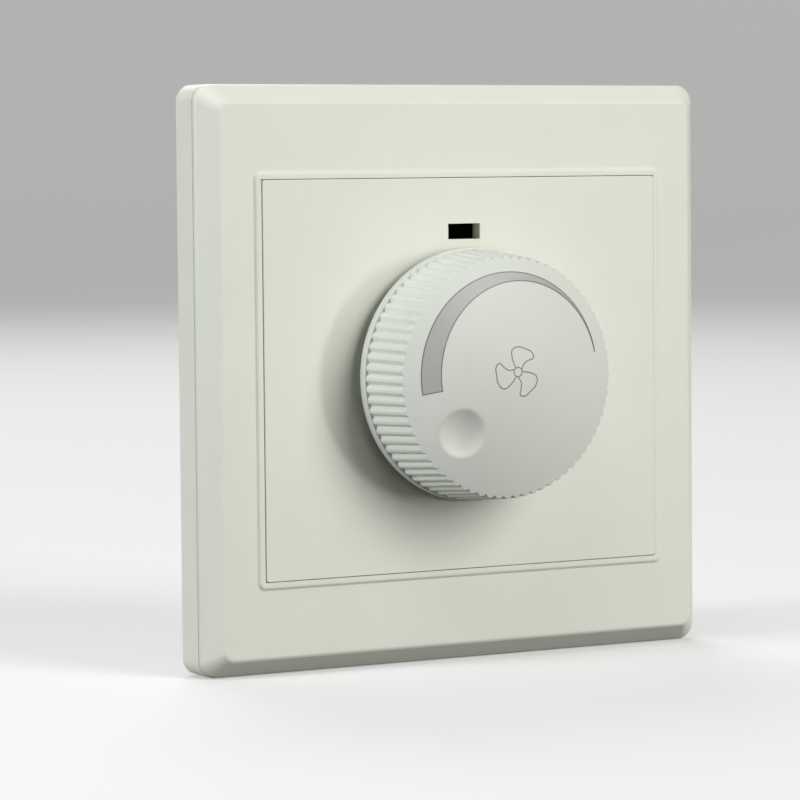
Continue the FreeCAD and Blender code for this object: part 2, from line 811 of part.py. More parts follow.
def make_pot_terminals():
    body = new_body("pot_terminals", (0, -track_back, 0), many=True)
    strips = new_sketch(body)
    for across in pin_places:
        rectangle(strips, (across, pin_up + (d.pin_rise - d.pin_wall) / 2), d.pin_width, d.pin_rise)
    pad(body, strips, d.pin_wall, back=True)
    pins = new_sketch(body)
    for across in pin_places:
        rectangle(pins, (across, pin_up), d.pin_width, d.pin_wall)
    pad(body, pins, track_back - board_back, back=True)


def make_pot_case():
    body = new_body("pot_case", (0, -board_front, 0))
    inner = d.pot_radius - d.can_wall
    zero = as_size(0)
    revolve(body, [(zero, zero), (d.pot_radius, zero), (d.pot_radius, d.can_depth), (inner, d.can_depth),
                   (inner, d.can_wall), (zero, d.can_wall)])
    # The stop is a block on the can's wall, below the rotor.
    bottom = as_size(270)
    half = d.stop_half_angle
    outer = d.pot_radius - d.can_wall / 4
    stop = new_sketch(body)
    outline(stop, [polar(d.stop_radius, bottom - half), polar(outer, bottom - half), polar(outer, bottom),
                   polar(outer, bottom + half), polar(d.stop_radius, bottom + half)])
    pad(body, stop, rotor_front - board_front)
    gate = new_sketch(body, d.can_depth)
    rectangle(gate, (zero, -d.pot_radius), d.tongue_width + d.track_slack * 2, d.pot_radius)
    pocket(body, gate, d.track_wall + d.track_slack)


def lead_places():
    # Where the leads of the pieces on the board's back go through it.
    places = [(d.capacitor_pitch / 2 * side, capacitor_up) for side in signs]
    places += [(choke_across + d.choke_pin_spacing / 2 * side, d.choke_up) for side in signs]
    places += [(triac_across, d.triac_up + d.triac_pitch * step) for step in (-1, 0, 1)]
    for up, length in [(up, d.resistor_length) for up in resistor_ups] + [(diac_up, d.diac_length)]:
        places += [(d.axial_across + (length / 2 + d.axial_reach) * side, up) for side in signs]
    places += [(d.lamp_pitch / 2 * side, window_up) for side in signs]
    return places


def sink_pins():
    across = triac_across - d.triac_wall / 2 - d.sink_wall / 2
    return [(across, d.triac_up + d.sink_pin_spacing / 2 * side) for side in signs]


def make_circuit_board():
    body = new_body("circuit_board", (0, -board_back, 0))
    across = wall_across - d.board_gap
    up = wall_up - d.board_gap
    notch_across = boss_across - d.boss_radius - d.board_gap
    notch_up = boss_up - d.boss_radius - d.board_gap
    board = new_sketch(body)
    outline(board, [(-notch_across, -up), (notch_across, -up), (notch_across, -notch_up), (across, -notch_up),
                    (across, notch_up), (notch_across, notch_up), (notch_across, up), (-notch_across, up),
                    (-notch_across, notch_up), (-across, notch_up), (-across, -notch_up),
                    (-notch_across, -notch_up)])
    pad(body, board, d.board_wall)
    drilled = new_sketch(body, d.board_wall)
    for place in lead_places() + sink_pins():
        circle(drilled, place, d.lead_radius + d.lead_slack)
    for place in post_places:
        circle(drilled, place, d.board_screw_radius + d.screw_slack)
    for side in signs:
        circle(drilled, (d.clamp_across * side, block_up), d.clamp_pin_radius + d.lead_slack)
    for place in pin_places:
        rectangle(drilled, (place, pin_up), d.pin_width + d.lead_slack * 2, d.pin_wall + d.lead_slack * 2)
    pocket(body, drilled)


def make_slotted_screws(label, place, spots, radius, length, head_radius, head_height, heads_back):
    # Screws along Y with slotted heads. The place is the face that the heads bear on.
    body = new_body(label, place, many=True)
    heads = new_sketch(body)
    shanks = new_sketch(body)
    for spot in spots:
        circle(heads, spot, head_radius)
        circle(shanks, spot, radius)
    pad(body, heads, head_height, back=heads_back)
    pad(body, shanks, length, back=not heads_back)
    slots = new_sketch(body, -head_height if heads_back else head_height)
    for spot in spots:
        rectangle(slots, spot, head_radius * 2 + d.screw_slot, d.screw_slot)
    pocket(body, slots, head_height / 2, forward=heads_back)


def make_rear_housing():
    body = new_body("rear_housing", (0, -d.web_back, 0))
    box = new_sketch(body)
    rounded_rectangle(box, d.housing_width, d.housing_height, d.housing_corner)
    block = pad(body, box, housing_depth, back=True)
    dress(body, "Fillet", "Radius", d.housing_round, block, lambda edge: at_depth(edge, -housing_depth))
    hollow = new_sketch(body)
    wall = d.housing_wall * 2
    rounded_rectangle(hollow, d.housing_width - wall, d.housing_height - wall, d.housing_corner / 2)
    pocket(body, hollow, housing_depth - d.housing_wall)
    bosses = new_sketch(body)
    for place in corners_of(boss_across, boss_up):
        circle(bosses, place, d.boss_radius)
    pad(body, bosses, housing_depth - d.housing_wall / 2, back=True)
    pilots = new_sketch(body)
    for place in corners_of(boss_across, boss_up):
        circle(pilots, place, d.housing_screw_radius + d.screw_slack)
    pocket(body, pilots, d.housing_screw_length)
    wires = new_sketch(body, -housing_depth)
    for side in signs:
        circle(wires, (d.clamp_across * side, block_up), d.wire_hole_radius)
    pocket(body, wires, d.housing_wall, forward=True)
    vent = new_sketch(body, -housing_depth)
    slot(vent, (as_size(0), d.vent_up), d.vent_length, d.vent_width)
    first_vent = pocket(body, vent, d.housing_wall, forward=True)
    vents = body.newObject("PartDesign::LinearPattern", "rear_housing_vents")
    vents.Originals = [first_vent]
    vents.Direction = (origin_part(body, "Z_Axis"), [""])
    bind(vents, "Length", d.vent_pitch * (d.vent_count - 1))
    bind(vents, "Occurrences", d.vent_count)
    body.Tip = vents
    access = new_sketch(body, -d.housing_height / 2, "XY_Plane")
    screw_back = housing_depth - d.housing_wall - d.clamp_screw_setback
    for side in signs:
        circle(access, (d.clamp_across * side, screw_back), d.clamp_access_radius)
    pocket(body, access, d.housing_wall, forward=True)


def make_triac():
    # The tab and the body's back lie on the heat sink, which is to the left.
    body = new_body("triac", (triac_across, -board_back, d.triac_up))
    half = d.triac_wall / 2
    block = new_sketch(body, -d.triac_lead)
    rectangle(block, (as_size(0), as_size(0)), d.triac_wall, d.triac_width)
    pad(body, block, d.triac_body, back=True)
    legs = new_sketch(body, -d.triac_lead)
    for step in (-1, 0, 1):
        circle(legs, (0, d.triac_pitch * step), d.lead_radius)
    pad(body, legs, d.triac_lead + d.board_wall)
    tab = new_sketch(body, -(d.triac_lead + d.triac_body))
    rectangle(tab, (d.triac_tab_wall / 2 - half, as_size(0)), d.triac_tab_wall, d.triac_width)
    pad(body, tab, d.triac_tab, back=True)
    hole = new_sketch(body, -half, "YZ_Plane")
    circle(hole, (d.triac_lead + d.triac_body + d.triac_tab / 2, 0), d.triac_hole)
    pocket(body, hole, d.triac_tab_wall, forward=True)


def make_heat_sink():
    across = triac_across - d.triac_wall / 2
    body = new_body("heat_sink", (across, -board_back, d.triac_up))
    plate = new_sketch(body)
    rectangle(plate, (-d.sink_wall / 2, as_size(0)), d.sink_wall, d.sink_height)
    pad(body, plate, d.triac_lead + d.triac_body + d.triac_tab, back=True)
    pins = new_sketch(body)
    for side in signs:
        circle(pins, (-d.sink_wall / 2, d.sink_pin_spacing / 2 * side), d.lead_radius)
    pad(body, pins, d.board_wall)
    hole = new_sketch(body, 0, "YZ_Plane")
    circle(hole, (d.triac_lead + d.triac_body + d.triac_tab / 2, 0), d.triac_screw_radius + d.thread_slack)
    pocket(body, hole, d.sink_wall)


def make_triac_screw():
    across = triac_across - d.triac_wall / 2 + d.triac_tab_wall
    hole_back = d.triac_lead + d.triac_body + d.triac_tab / 2
    body = new_body("triac_screw", (across, hole_back - board_back, d.triac_up))
    head = new_sketch(body, 0, "YZ_Plane")
    circle(head, (0, 0), d.triac_head_radius)
    pad(body, head, d.triac_head_height)
    shank = new_sketch(body, 0, "YZ_Plane")
    circle(shank, (0, 0), d.triac_screw_radius)
    pad(body, shank, d.triac_tab_wall + d.sink_wall, back=True)
    cut = new_sketch(body, d.triac_head_height, "YZ_Plane")
    rectangle(cut, (as_size(0), as_size(0)), d.screw_slot, d.triac_head_radius * 2 + d.screw_slot)
    pocket(body, cut, d.triac_head_height / 2)


def make_choke():
    place = (choke_across, -board_back, d.choke_up)
    core = new_body("choke_core", place)
    zero = as_size(0)
    near = -d.choke_flange
    far = d.choke_flange - d.choke_height
    revolve(core, [(zero, zero), (d.choke_radius, zero), (d.choke_radius, near), (d.choke_core_radius, near),
                   (d.choke_core_radius, far), (d.choke_radius, far), (d.choke_radius, -d.choke_height),
                   (zero, -d.choke_height)])
    pins = new_sketch(core)
    for side in signs:
        circle(pins, (d.choke_pin_spacing / 2 * side, 0), d.lead_radius)
    pad(core, pins, d.board_wall)
    winding = new_body("choke_winding", place)
    coil = new_sketch(winding, near)
    circle(coil, (0, 0), d.choke_core_radius)
    circle(coil, (0, 0), d.winding_radius)
    pad(winding, coil, d.choke_height - d.choke_flange * 2, back=True)


def make_film_capacitor():
    body = new_body("film_capacitor", (0, -board_back, capacitor_up))
    box = new_sketch(body)
    rounded_rectangle(box, d.capacitor_width, d.capacitor_thick, d.capacitor_round)
    pad(body, box, d.capacitor_height, back=True)
    leads = new_sketch(body)
    for side in signs:
        circle(leads, (d.capacitor_pitch / 2 * side, 0), d.lead_radius)
    pad(body, leads, d.board_wall)


def make_axial_pieces(label, ups, radius, length):
    # Round bodies along X, each with a straight lead that is bent down through the board.
    body = new_body(label, (d.axial_across, -board_back, 0), many=len(ups) > 1)
    height = radius + d.axial_lift
    barrels = new_sketch(body, -length / 2, "YZ_Plane")
    wires = new_sketch(body, -(length / 2 + d.axial_reach + d.lead_radius), "YZ_Plane")
    legs = new_sketch(body, -(height + d.lead_radius))
    for up in ups:
        circle(barrels, (height, up), radius)
        circle(wires, (height, up), d.lead_radius)
        for side in signs:
            circle(legs, ((length / 2 + d.axial_reach) * side, up), d.lead_radius)
    pad(body, barrels, length)
    pad(body, wires, length + (d.axial_reach + d.lead_radius) * 2)
    pad(body, legs, height + d.lead_radius + d.board_wall)


def make_terminals():
    places = [d.clamp_across * side for side in signs]
    seat = (0, -housing_inner_back, block_up)
    screw_up = -d.clamp_height / 2
    block = new_body("terminal_block", seat)
    zero = as_size(0)
    shape = new_sketch(block)
    rectangle(shape, (zero, zero), d.block_width, d.block_height)
    pad(block, shape, component_room)
    cells = new_sketch(block)
    pins = new_sketch(block)
    play = d.clamp_slack * 2
    for across in places:
        rectangle(cells, (across, zero), d.clamp_width + play, d.clamp_height + play)
        circle(pins, (across, zero), d.clamp_pin_radius + d.lead_slack)
    pocket(block, cells, d.clamp_length + d.clamp_slack, forward=True)
    pocket(block, pins, component_room, forward=True)
    access = new_sketch(block, -d.block_height / 2, "XY_Plane")
    for across in places:
        circle(access, (across, -d.clamp_screw_setback), d.clamp_access_radius)
    pocket(block, access, d.block_height / 2, forward=True)

    clamps = new_body("terminal_clamps", seat, many=True)
    pillars = new_sketch(clamps)
    feet = new_sketch(clamps, d.clamp_length)
    for across in places:
        rectangle(pillars, (across, zero), d.clamp_width, d.clamp_height)
        circle(feet, (across, zero), d.clamp_pin_radius)
    pad(clamps, pillars, d.clamp_length)
    pad(clamps, feet, component_room + d.board_wall - d.clamp_length)
    ways = new_sketch(clamps)
    for across in places:
        circle(ways, (across, zero), d.wire_radius)
    pocket(clamps, ways, d.wire_depth, forward=True)
    taps = new_sketch(clamps, screw_up, "XY_Plane")
    for across in places:
        circle(taps, (across, -d.clamp_screw_setback), d.clamp_screw_radius + d.thread_slack)
    pocket(clamps, taps, d.clamp_height / 2, forward=True)

    screws = new_body("terminal_screws", seat, many=True)
    heads = new_sketch(screws, screw_up, "XY_Plane")
    shanks = new_sketch(screws, screw_up, "XY_Plane")
    slots = new_sketch(screws, screw_up - d.clamp_head_height, "XY_Plane")
    for across in places:
        middle = (across, -d.clamp_screw_setback)
        circle(heads, middle, d.clamp_head_radius)
        circle(shanks, middle, d.clamp_screw_radius)
        rectangle(slots, middle, d.clamp_head_radius * 2 + d.screw_slot, d.screw_slot)
    pad(screws, heads, d.clamp_head_height, back=True)
    pad(screws, shanks, d.clamp_height / 2 - d.wire_radius)
    pocket(screws, slots, d.clamp_head_height / 2, forward=True)


def make_indicator_lamp():
    body = new_body("indicator_lamp", (0, -board_front, window_up))
    front = web_front - d.lamp_recess - board_front
    base = front - d.lamp_length
    shoulder = front - d.lamp_radius
    zero = as_size(0)
    revolve(body, [(zero, base), (d.lamp_flange_radius, base), (d.lamp_flange_radius, base + d.lamp_flange),
                   (d.lamp_radius, base + d.lamp_flange), (d.lamp_radius, shoulder), (zero, front)],
            {4: (zero, shoulder)})
    leads = new_sketch(body, -d.board_wall)
    for side in signs:
        circle(leads, (d.lamp_pitch / 2 * side, 0), d.lead_radius)
    pad(body, leads, base + d.board_wall + d.lamp_flange / 2)


def write_parts():
    doc.recompute()
    for thing in doc.Objects:
        broken = [state for state in thing.State if state in ("Invalid", "Error")]
        if broken:
            raise RuntimeError(f"{thing.Name} is {broken}")
    for body in bodies:
        before = 0.0
        for feature in body.Group:
            if not feature.isDerivedFrom("PartDesign::Feature"):
                continue
            volume = feature.Shape.Volume
            if abs(volume - before) < 1e-6:
                raise RuntimeError(f"{feature.Name} changes nothing")
            removes = feature.isDerivedFrom("PartDesign::Pocket")
            if removes and volume > before:
                raise RuntimeError(f"{feature.Name} cuts nothing")
            before = volume
        if body.Shape.isNull() or not body.Shape.isValid():
            raise RuntimeError(f"{body.Label} has no valid shape")
    os.makedirs("parts", exist_ok=True)
    for body in bodies:
        body.Shape.exportStep(f"parts/{body.Label}.step")
        print(body.Label, len(body.Shape.Solids), round(body.Shape.Volume, 2))


make_base_plate()
make_cover_frame()
make_centre_panel()
make_knob()
make_hub_ring()
make_pot_shaft()
make_shaft_clip()
make_pot_rotor()
make_wiper()
make_pot_bushing()
make_pot_washer()
make_pot_nut()
make_pot_track()
make_pot_terminals()
make_pot_case()
make_circuit_board()
make_slotted_screws("board_screws", (0, -board_back, 0), post_places, d.board_screw_radius,
                    d.board_wall + d.board_screw_length, d.board_head_radius, d.board_head_height,
                    heads_back=True)
make_rear_housing()
make_slotted_screws("housing_screws", (0, -web_front, 0), corners_of(boss_across, boss_up),
                    d.housing_screw_radius, d.web_wall + d.housing_screw_length, d.housing_head_radius,
                    d.housing_head_height, heads_back=False)
make_triac()
make_heat_sink()
make_triac_screw()
make_choke()
make_film_capacitor()
make_axial_pieces("resistors", resistor_ups, d.resistor_radius, d.resistor_length)
make_axial_pieces("diac", [diac_up], d.diac_radius, d.diac_length)
make_terminals()
make_indicator_lamp()
write_parts()
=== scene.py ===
import math

import bmesh
import bpy
from mathutils import Matrix, Vector


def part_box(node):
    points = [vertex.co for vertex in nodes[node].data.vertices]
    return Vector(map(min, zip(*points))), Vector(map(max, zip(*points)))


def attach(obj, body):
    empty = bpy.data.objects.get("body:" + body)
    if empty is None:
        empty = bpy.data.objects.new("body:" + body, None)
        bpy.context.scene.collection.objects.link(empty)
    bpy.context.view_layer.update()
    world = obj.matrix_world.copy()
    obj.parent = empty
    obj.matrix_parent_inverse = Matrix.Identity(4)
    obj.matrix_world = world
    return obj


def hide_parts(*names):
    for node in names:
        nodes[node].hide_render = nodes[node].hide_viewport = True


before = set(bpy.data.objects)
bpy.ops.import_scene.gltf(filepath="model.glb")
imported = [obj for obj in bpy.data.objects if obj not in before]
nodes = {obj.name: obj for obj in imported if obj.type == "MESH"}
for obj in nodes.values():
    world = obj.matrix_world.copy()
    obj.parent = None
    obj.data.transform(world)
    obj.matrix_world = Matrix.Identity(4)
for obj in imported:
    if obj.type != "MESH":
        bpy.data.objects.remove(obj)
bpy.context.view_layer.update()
mm = 0.001


def boxOf(node):  # a node's lowest and highest corners, in millimetres
    low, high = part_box(node)
    return low / mm, high / mm


frameLow, frameHigh = boxOf("cover_frame")
panelLow, panelHigh = boxOf("centre_panel")
baseLow, baseHigh = boxOf("base_plate")
housingLow, housingHigh = boxOf("rear_housing")
knobLow, knobHigh = boxOf("knob")
plateSize = frameHigh.x - frameLow.x
seamDepth = -baseLow.y  # depths count forwards from the wall
beadFront = -frameLow.y
panelFront = -panelLow.y
knobBack = -knobHigh.y
knobApex = -knobLow.y
print("frame loaded,", len(nodes), "nodes")


# The hand tools that every piece below is made with, in millimetres

tiny = 1e-3
overshoot = 1.0  # how far a cutter stands out of what it cuts
roundSteps = 48
smallSteps = 24
cornerSteps = 8


def clearSelection():
    if bpy.context.mode != "OBJECT":
        bpy.ops.object.mode_set(mode="OBJECT")
    bpy.ops.object.select_all(action="DESELECT")


def makeActive(piece):
    clearSelection()
    piece.select_set(True)
    bpy.context.view_layer.objects.active = piece


def nameActive(name):
    piece = bpy.context.object
    piece.name = name
    piece.data.name = name
    return piece


def applyPlace(piece):
    makeActive(piece)
    bpy.ops.object.transform_apply(location=True, rotation=True, scale=True)
    return piece


def applyModifier(piece, kind, **settings):
    makeActive(piece)
    modifier = piece.modifiers.new(kind.title(), kind)
    for setting, value in settings.items():
        setattr(modifier, setting, value)
    bpy.ops.object.modifier_apply(modifier=modifier.name)


def joinPieces(main, *others):
    makeActive(main)
    for other in others:
        other.select_set(True)
    bpy.ops.object.join()
    return main


def addBox(name, low, high):  # corners are (across, depth, up) in millimetres
    clearSelection()
    middle = [(a + b) / 2 * mm for a, b in zip(low, high)]
    bpy.ops.mesh.primitive_cube_add(size=1, location=(middle[0], -middle[1], middle[2]))
    piece = nameActive(name)
    piece.scale = [abs(b - a) * mm for a, b in zip(low, high)]
    return applyPlace(piece)


def addBar(name, across, up, size, back, front):  # a bar along the depth, by its width and height
    half = (size[0] / 2, size[1] / 2)
    return addBox(name, (across - half[0], back, up - half[1]), (across + half[0], front, up + half[1]))


def addRod(name, across, up, radius, back, front, steps=roundSteps):  # a round bar along the depth
    clearSelection()
    middle = (across * mm, -(back + front) / 2 * mm, up * mm)
    bpy.ops.mesh.primitive_cylinder_add(vertices=steps, radius=radius * mm, depth=(front - back) * mm,
                                        location=middle, rotation=(math.pi / 2, 0, 0))
    return applyPlace(nameActive(name))


def fourPlaces(place):  # the same place in each quarter of the plate
    return [(across * place[0], up * place[1]) for across in (-1, 1) for up in (-1, 1)]


def cutAway(piece, cutters):
    tool = joinPieces(*cutters) if len(cutters) > 1 else cutters[0]
    applyModifier(piece, "BOOLEAN", operation="DIFFERENCE", solver="EXACT", object=tool)
    bpy.data.objects.remove(tool)


def soften(piece, radius, steps=2):
    applyModifier(piece, "BEVEL", width=radius * mm, segments=steps, limit_method="ANGLE")
    return piece


def pickEdges(piece, test):  # leaves the piece in edit mode with those edges selected
    makeActive(piece)
    bpy.ops.object.mode_set(mode="EDIT")
    bpy.ops.mesh.select_mode(type="EDGE")
    bpy.ops.mesh.select_all(action="DESELECT")
    bpy.ops.object.mode_set(mode="OBJECT")
    spots = [Vector((v.co.x, -v.co.y, v.co.z)) / mm for v in piece.data.vertices]
    for edge in piece.data.edges:
        edge.select = test(spots[edge.vertices[0]], spots[edge.vertices[1]])
    bpy.ops.object.mode_set(mode="EDIT")


def roundEdges(piece, test, radius, steps=4):
    pickEdges(piece, test)
    bpy.ops.mesh.bevel(offset=radius * mm, segments=steps, profile=0.5, affect="EDGES")
    bpy.ops.object.mode_set(mode="OBJECT")


def atDepth(depth):  # an edge test: both ends at one depth
    return lambda a, b: abs(a.y - depth) < tiny and abs(b.y - depth) < tiny


def onLoop(width, height, corner, depth):  # an edge test: along a rounded outline at one depth
    def onOutline(p):
        across = max(abs(p.x) - width / 2 + corner, 0)
        up = max(abs(p.z) - height / 2 + corner, 0)
        return abs(math.hypot(across, up) - corner) < 5 * tiny and abs(p.y - depth) < tiny
    return lambda a, b: onOutline(a) and onOutline(b)


def finishShading(piece, sharpAngle=35):
    makeActive(piece)
    bpy.ops.object.shade_smooth_by_angle(angle=math.radians(sharpAngle))
    applyModifier(piece, "WEIGHTED_NORMAL", keep_sharp=True, weight=90)


def moveLoop(piece, before, after):  # takes the four corners of the selected loop to the next size
    shape = bmesh.from_edit_mesh(piece.data)
    for vertex in [v for v in shape.verts if v.select]:
        sides = [math.copysign(0.5, vertex.co.x), math.copysign(0.5, vertex.co.z)]
        old = Vector((sides[0] * before[0], -before[3], sides[1] * before[1])) * mm
        new = Vector((sides[0] * after[0], -after[3], sides[1] * after[1])) * mm
        vertex.co = new + (vertex.co - old) * (after[2] / before[2])
    bmesh.update_edit_mesh(piece.data)


def loopPiece(name, stations, capStart=True, capEnd=True):  # a station is (width, height, corner, depth)
    clearSelection()
    width, height, corner, depth = stations[0]
    bpy.ops.mesh.primitive_plane_add(size=1, location=(0, -depth * mm, 0), rotation=(math.pi / 2, 0, 0))
    piece = nameActive(name)
    piece.scale = (width * mm, height * mm, 1)
    applyPlace(piece)
    bpy.ops.object.mode_set(mode="EDIT")
    bpy.ops.mesh.select_mode(type="EDGE")
    bpy.ops.mesh.select_all(action="SELECT")
    bpy.ops.mesh.bevel(offset=corner * mm, affect="VERTICES", segments=cornerSteps)
    if not capStart:
        bpy.ops.mesh.delete(type="ONLY_FACE")
        bpy.ops.mesh.select_all(action="SELECT")
    for before, after in zip(stations, stations[1:]):
        bpy.ops.mesh.extrude_edges_move()
        moveLoop(piece, before, after)
    if capEnd:
        bpy.ops.mesh.edge_face_add()
    bpy.ops.mesh.select_all(action="SELECT")
    bpy.ops.mesh.remove_doubles(threshold=1e-7)
    bpy.ops.mesh.normals_make_consistent(inside=False)
    bpy.ops.object.mode_set(mode="OBJECT")
    return piece


def layPiece(piece, body, slot, material, *replaced):
    piece.data.materials.clear()
    piece.data.materials.append(material)
    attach(piece, body)
    if replaced:
        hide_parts(*replaced)


# Finishes

class Finish:  # a new material with its shader and short ways to add nodes
    def __init__(self, name, **sockets):
        self.material = bpy.data.materials.new(name)
        self.material.use_nodes = True
        self.tree = self.material.node_tree
        self.shader = self.tree.nodes["Principled BSDF"]
        self.place = self.add("ShaderNodeTexCoord").outputs["Object"]
        for socket, value in sockets.items():
            self.shader.inputs[socket.replace("_", " ")].default_value = value

    def add(self, kind, **settings):
        node = self.tree.nodes.new(kind)
        for setting, value in settings.items():
            setattr(node, setting, value)
        return node

    def link(self, source, target):
        self.tree.links.new(source, target)

    def noise(self, sizeMm, detail=2.0, roughness=0.5):  # cloudy noise with lumps of about this size
        node = self.add("ShaderNodeTexNoise")
        node.inputs["Scale"].default_value = 1 / (sizeMm * mm)
        node.inputs["Detail"].default_value = detail
        node.inputs["Roughness"].default_value = roughness
        self.link(self.place, node.inputs["Vector"])
        return node.outputs["Fac"]

    def ramp(self, source, stops):  # stops are (position, colour)
        node = self.add("ShaderNodeValToRGB")
        elements = node.color_ramp.elements
        for _ in stops[2:]:
            elements.new(0.5)
        for element, (position, colour) in zip(elements, stops):
            element.position = position
            element.color = (*colour, 1)
        self.link(source, node.inputs["Fac"])
        return node.outputs["Color"]

    def span(self, source, low, high):  # a 0 to 1 value taken to another range
        node = self.add("ShaderNodeMapRange")
        node.inputs["To Min"].default_value = low
        node.inputs["To Max"].default_value = high
        self.link(source, node.inputs["Value"])
        return node.outputs["Result"]

    def colour(self, source):
        self.link(source, self.shader.inputs["Base Color"])

    def gloss(self, source, low, high):
        self.link(self.span(source, low, high), self.shader.inputs["Roughness"])

    def bump(self, source, heightMm, strength=1.0):
        node = self.add("ShaderNodeBump")
        node.inputs["Strength"].default_value = strength
        node.inputs["Distance"].default_value = heightMm * mm
        self.link(source, node.inputs["Height"])
        self.link(node.outputs["Normal"], self.shader.inputs["Normal"])


def shade(colour, factor):
    return [min(channel * factor, 1) for channel in colour]


def mouldedPlastic(name, colour, gloss, grainMm, grainHeightMm, mottle=0.012, mottleMm=9, shine=0.35):
    finish = Finish(name, IOR=1.49, Specular_IOR_Level=shine)
    clouds = finish.noise(mottleMm, 3)
    finish.colour(finish.ramp(clouds, [(0.3, shade(colour, 1 - mottle)), (0.7, shade(colour, 1 + mottle))]))
    grain = finish.noise(grainMm, 3, 0.6)
    finish.gloss(grain, *gloss)
    finish.bump(grain, grainHeightMm)
    return finish.material


plateFinish = {
    "colour": (0.735, 0.747, 0.65),
    "gloss": (0.36, 0.44),
    "grainMm": 0.5,
    "grainHeightMm": 0.004,
}
knobFinish = {
    "colour": (0.667, 0.69, 0.628),
    "gloss": (0.38, 0.46),
    "grainMm": 0.6,
    "grainHeightMm": 0.003,
    "shine": 0.2,
}
housingFinish = {
    "colour": (0.70, 0.71, 0.65),
    "gloss": (0.48, 0.60),
    "grainMm": 0.25,
    "grainHeightMm": 0.02,
}
frameWhite = mouldedPlastic("frame white", **plateFinish)
panelWhite = mouldedPlastic("panel white", **plateFinish)
baseWhite = mouldedPlastic("base white", **plateFinish)
knobWhite = mouldedPlastic("knob white", **knobFinish)
housingWhite = mouldedPlastic("housing white", **housingFinish)


def printInk(name, colour, gloss):
    finish = Finish(name, IOR=1.45)
    speckle = finish.noise(0.12, 2)
    finish.colour(finish.ramp(speckle, [(0.3, shade(colour, 0.94)), (0.7, shade(colour, 1.06))]))
    finish.gloss(speckle, *gloss)
    return finish.material


scaleGrey = printInk("scale grey", (0.39, 0.395, 0.365), (0.34, 0.42))
inkDark = printInk("dark ink", (0.15, 0.155, 0.145), (0.36, 0.44))


# Cover frame: a bevelled square with a raised bead round the panel

coverShape = {
    "corner": 2.5,
    "lip": 0.7,
    "bevelInset": 2.6,
    "faceCorner": 1.5,
    "beadHeight": 0.3,
    "beadWidth": 1.0,
    "beadCorner": 1.0,
    "beadSlope": 0.15,
    "openingCorner": 0.2,
    "panelGap": 0.085,
    "faceWall": 1.8,
    "sideWall": 2.8,
    "skirtWall": 1.6,
    "lipRound": 0.5,
    "faceRound": 0.35,
    "beadFootRound": 0.1,
    "beadRound": 0.19,
    "openingRound": 0.05,
    "seamGap": 0.25,
    "seamRound": 0.1,
    "hookUp": 22.0,
    "hookSize": (1.2, 6.0),
    "hookBack": 0.5,
    "hookRoot": 0.2,  # how far it goes into the wall that carries it, as for every root below
    "hookRound": 0.2,
}


def makeCoverFrame(s):
    face = beadFront - s["beadHeight"]
    faceSize = plateSize - 2 * s["bevelInset"]
    opening = [panelHigh.x * 2 + 2 * s["panelGap"], panelHigh.z * 2 + 2 * s["panelGap"]]
    foot = [side + 2 * (s["beadWidth"] + s["beadSlope"]) for side in opening]
    crown = [side + 2 * (s["beadWidth"] - s["beadSlope"]) for side in opening]
    skirt = [side + 2 * s["skirtWall"] for side in opening]
    hollow = plateSize - 2 * s["sideWall"]
    ceiling = face - s["faceWall"]
    edge = s["openingCorner"]
    outer = (plateSize, plateSize, s["corner"], seamDepth + s["seamGap"])
    lip = (plateSize, plateSize, s["corner"], seamDepth + s["lip"])
    faceEdge = (faceSize, faceSize, s["faceCorner"], face)
    beadFoot = (*foot, s["beadCorner"], face)
    beadTop = (*crown, s["beadCorner"], beadFront)
    beadInside = (*opening, edge, beadFront)
    piece = loopPiece("cover_frame_skin", [
        outer, lip, faceEdge, beadFoot, beadTop, beadInside,
        (*opening, edge, seamDepth),
        (*skirt, edge, seamDepth),
        (*skirt, edge, ceiling),
        (hollow, hollow, s["faceCorner"], ceiling),
        (hollow, hollow, s["faceCorner"], seamDepth),
        outer,
    ], capStart=False, capEnd=False)
    roundEdges(piece, onLoop(*outer), s["seamRound"], 3)
    roundEdges(piece, onLoop(*lip), s["lipRound"])
    roundEdges(piece, onLoop(*faceEdge), s["faceRound"], 5)
    roundEdges(piece, onLoop(*beadFoot), s["beadFootRound"], 2)
    roundEdges(piece, onLoop(*beadTop), s["beadRound"], 3)
    roundEdges(piece, onLoop(*beadInside), s["openingRound"], 2)
    hookAcross = (skirt[0] + hollow) / 4
    hookFront = ceiling + s["hookRoot"]
    hooks = [addBar("hook", *place, s["hookSize"], s["hookBack"], hookFront)
             for place in fourPlaces((hookAcross, s["hookUp"]))]
    joinPieces(piece, *[soften(hook, s["hookRound"]) for hook in hooks])
    finishShading(piece)
    layPiece(piece, "plate", "frame_plastic", frameWhite, "cover_frame")


makeCoverFrame(coverShape)
print("cover frame made")


# Centre panel: a flush sheet with the lamp window and the shaft's hole, a little to the right in its opening

panelShape = {
    "corner": 0.35,
    "wall": 2.0,
    "edgeRound": 0.1,
    "bore": 10.0,
    "window": (5.4, 2.3),
    "windowUp": 21.2,
    "windowRound": 0.1,
    "legInset": 4.5,
    "leg": (4.0, 4.0),
    "legBack": 3.3,
    "legRoot": 0.2,
    "legRound": 0.15,
    "pegRadius": 1.0,
    "pegBack": 1.6,
    "sideways": 0.045,
}


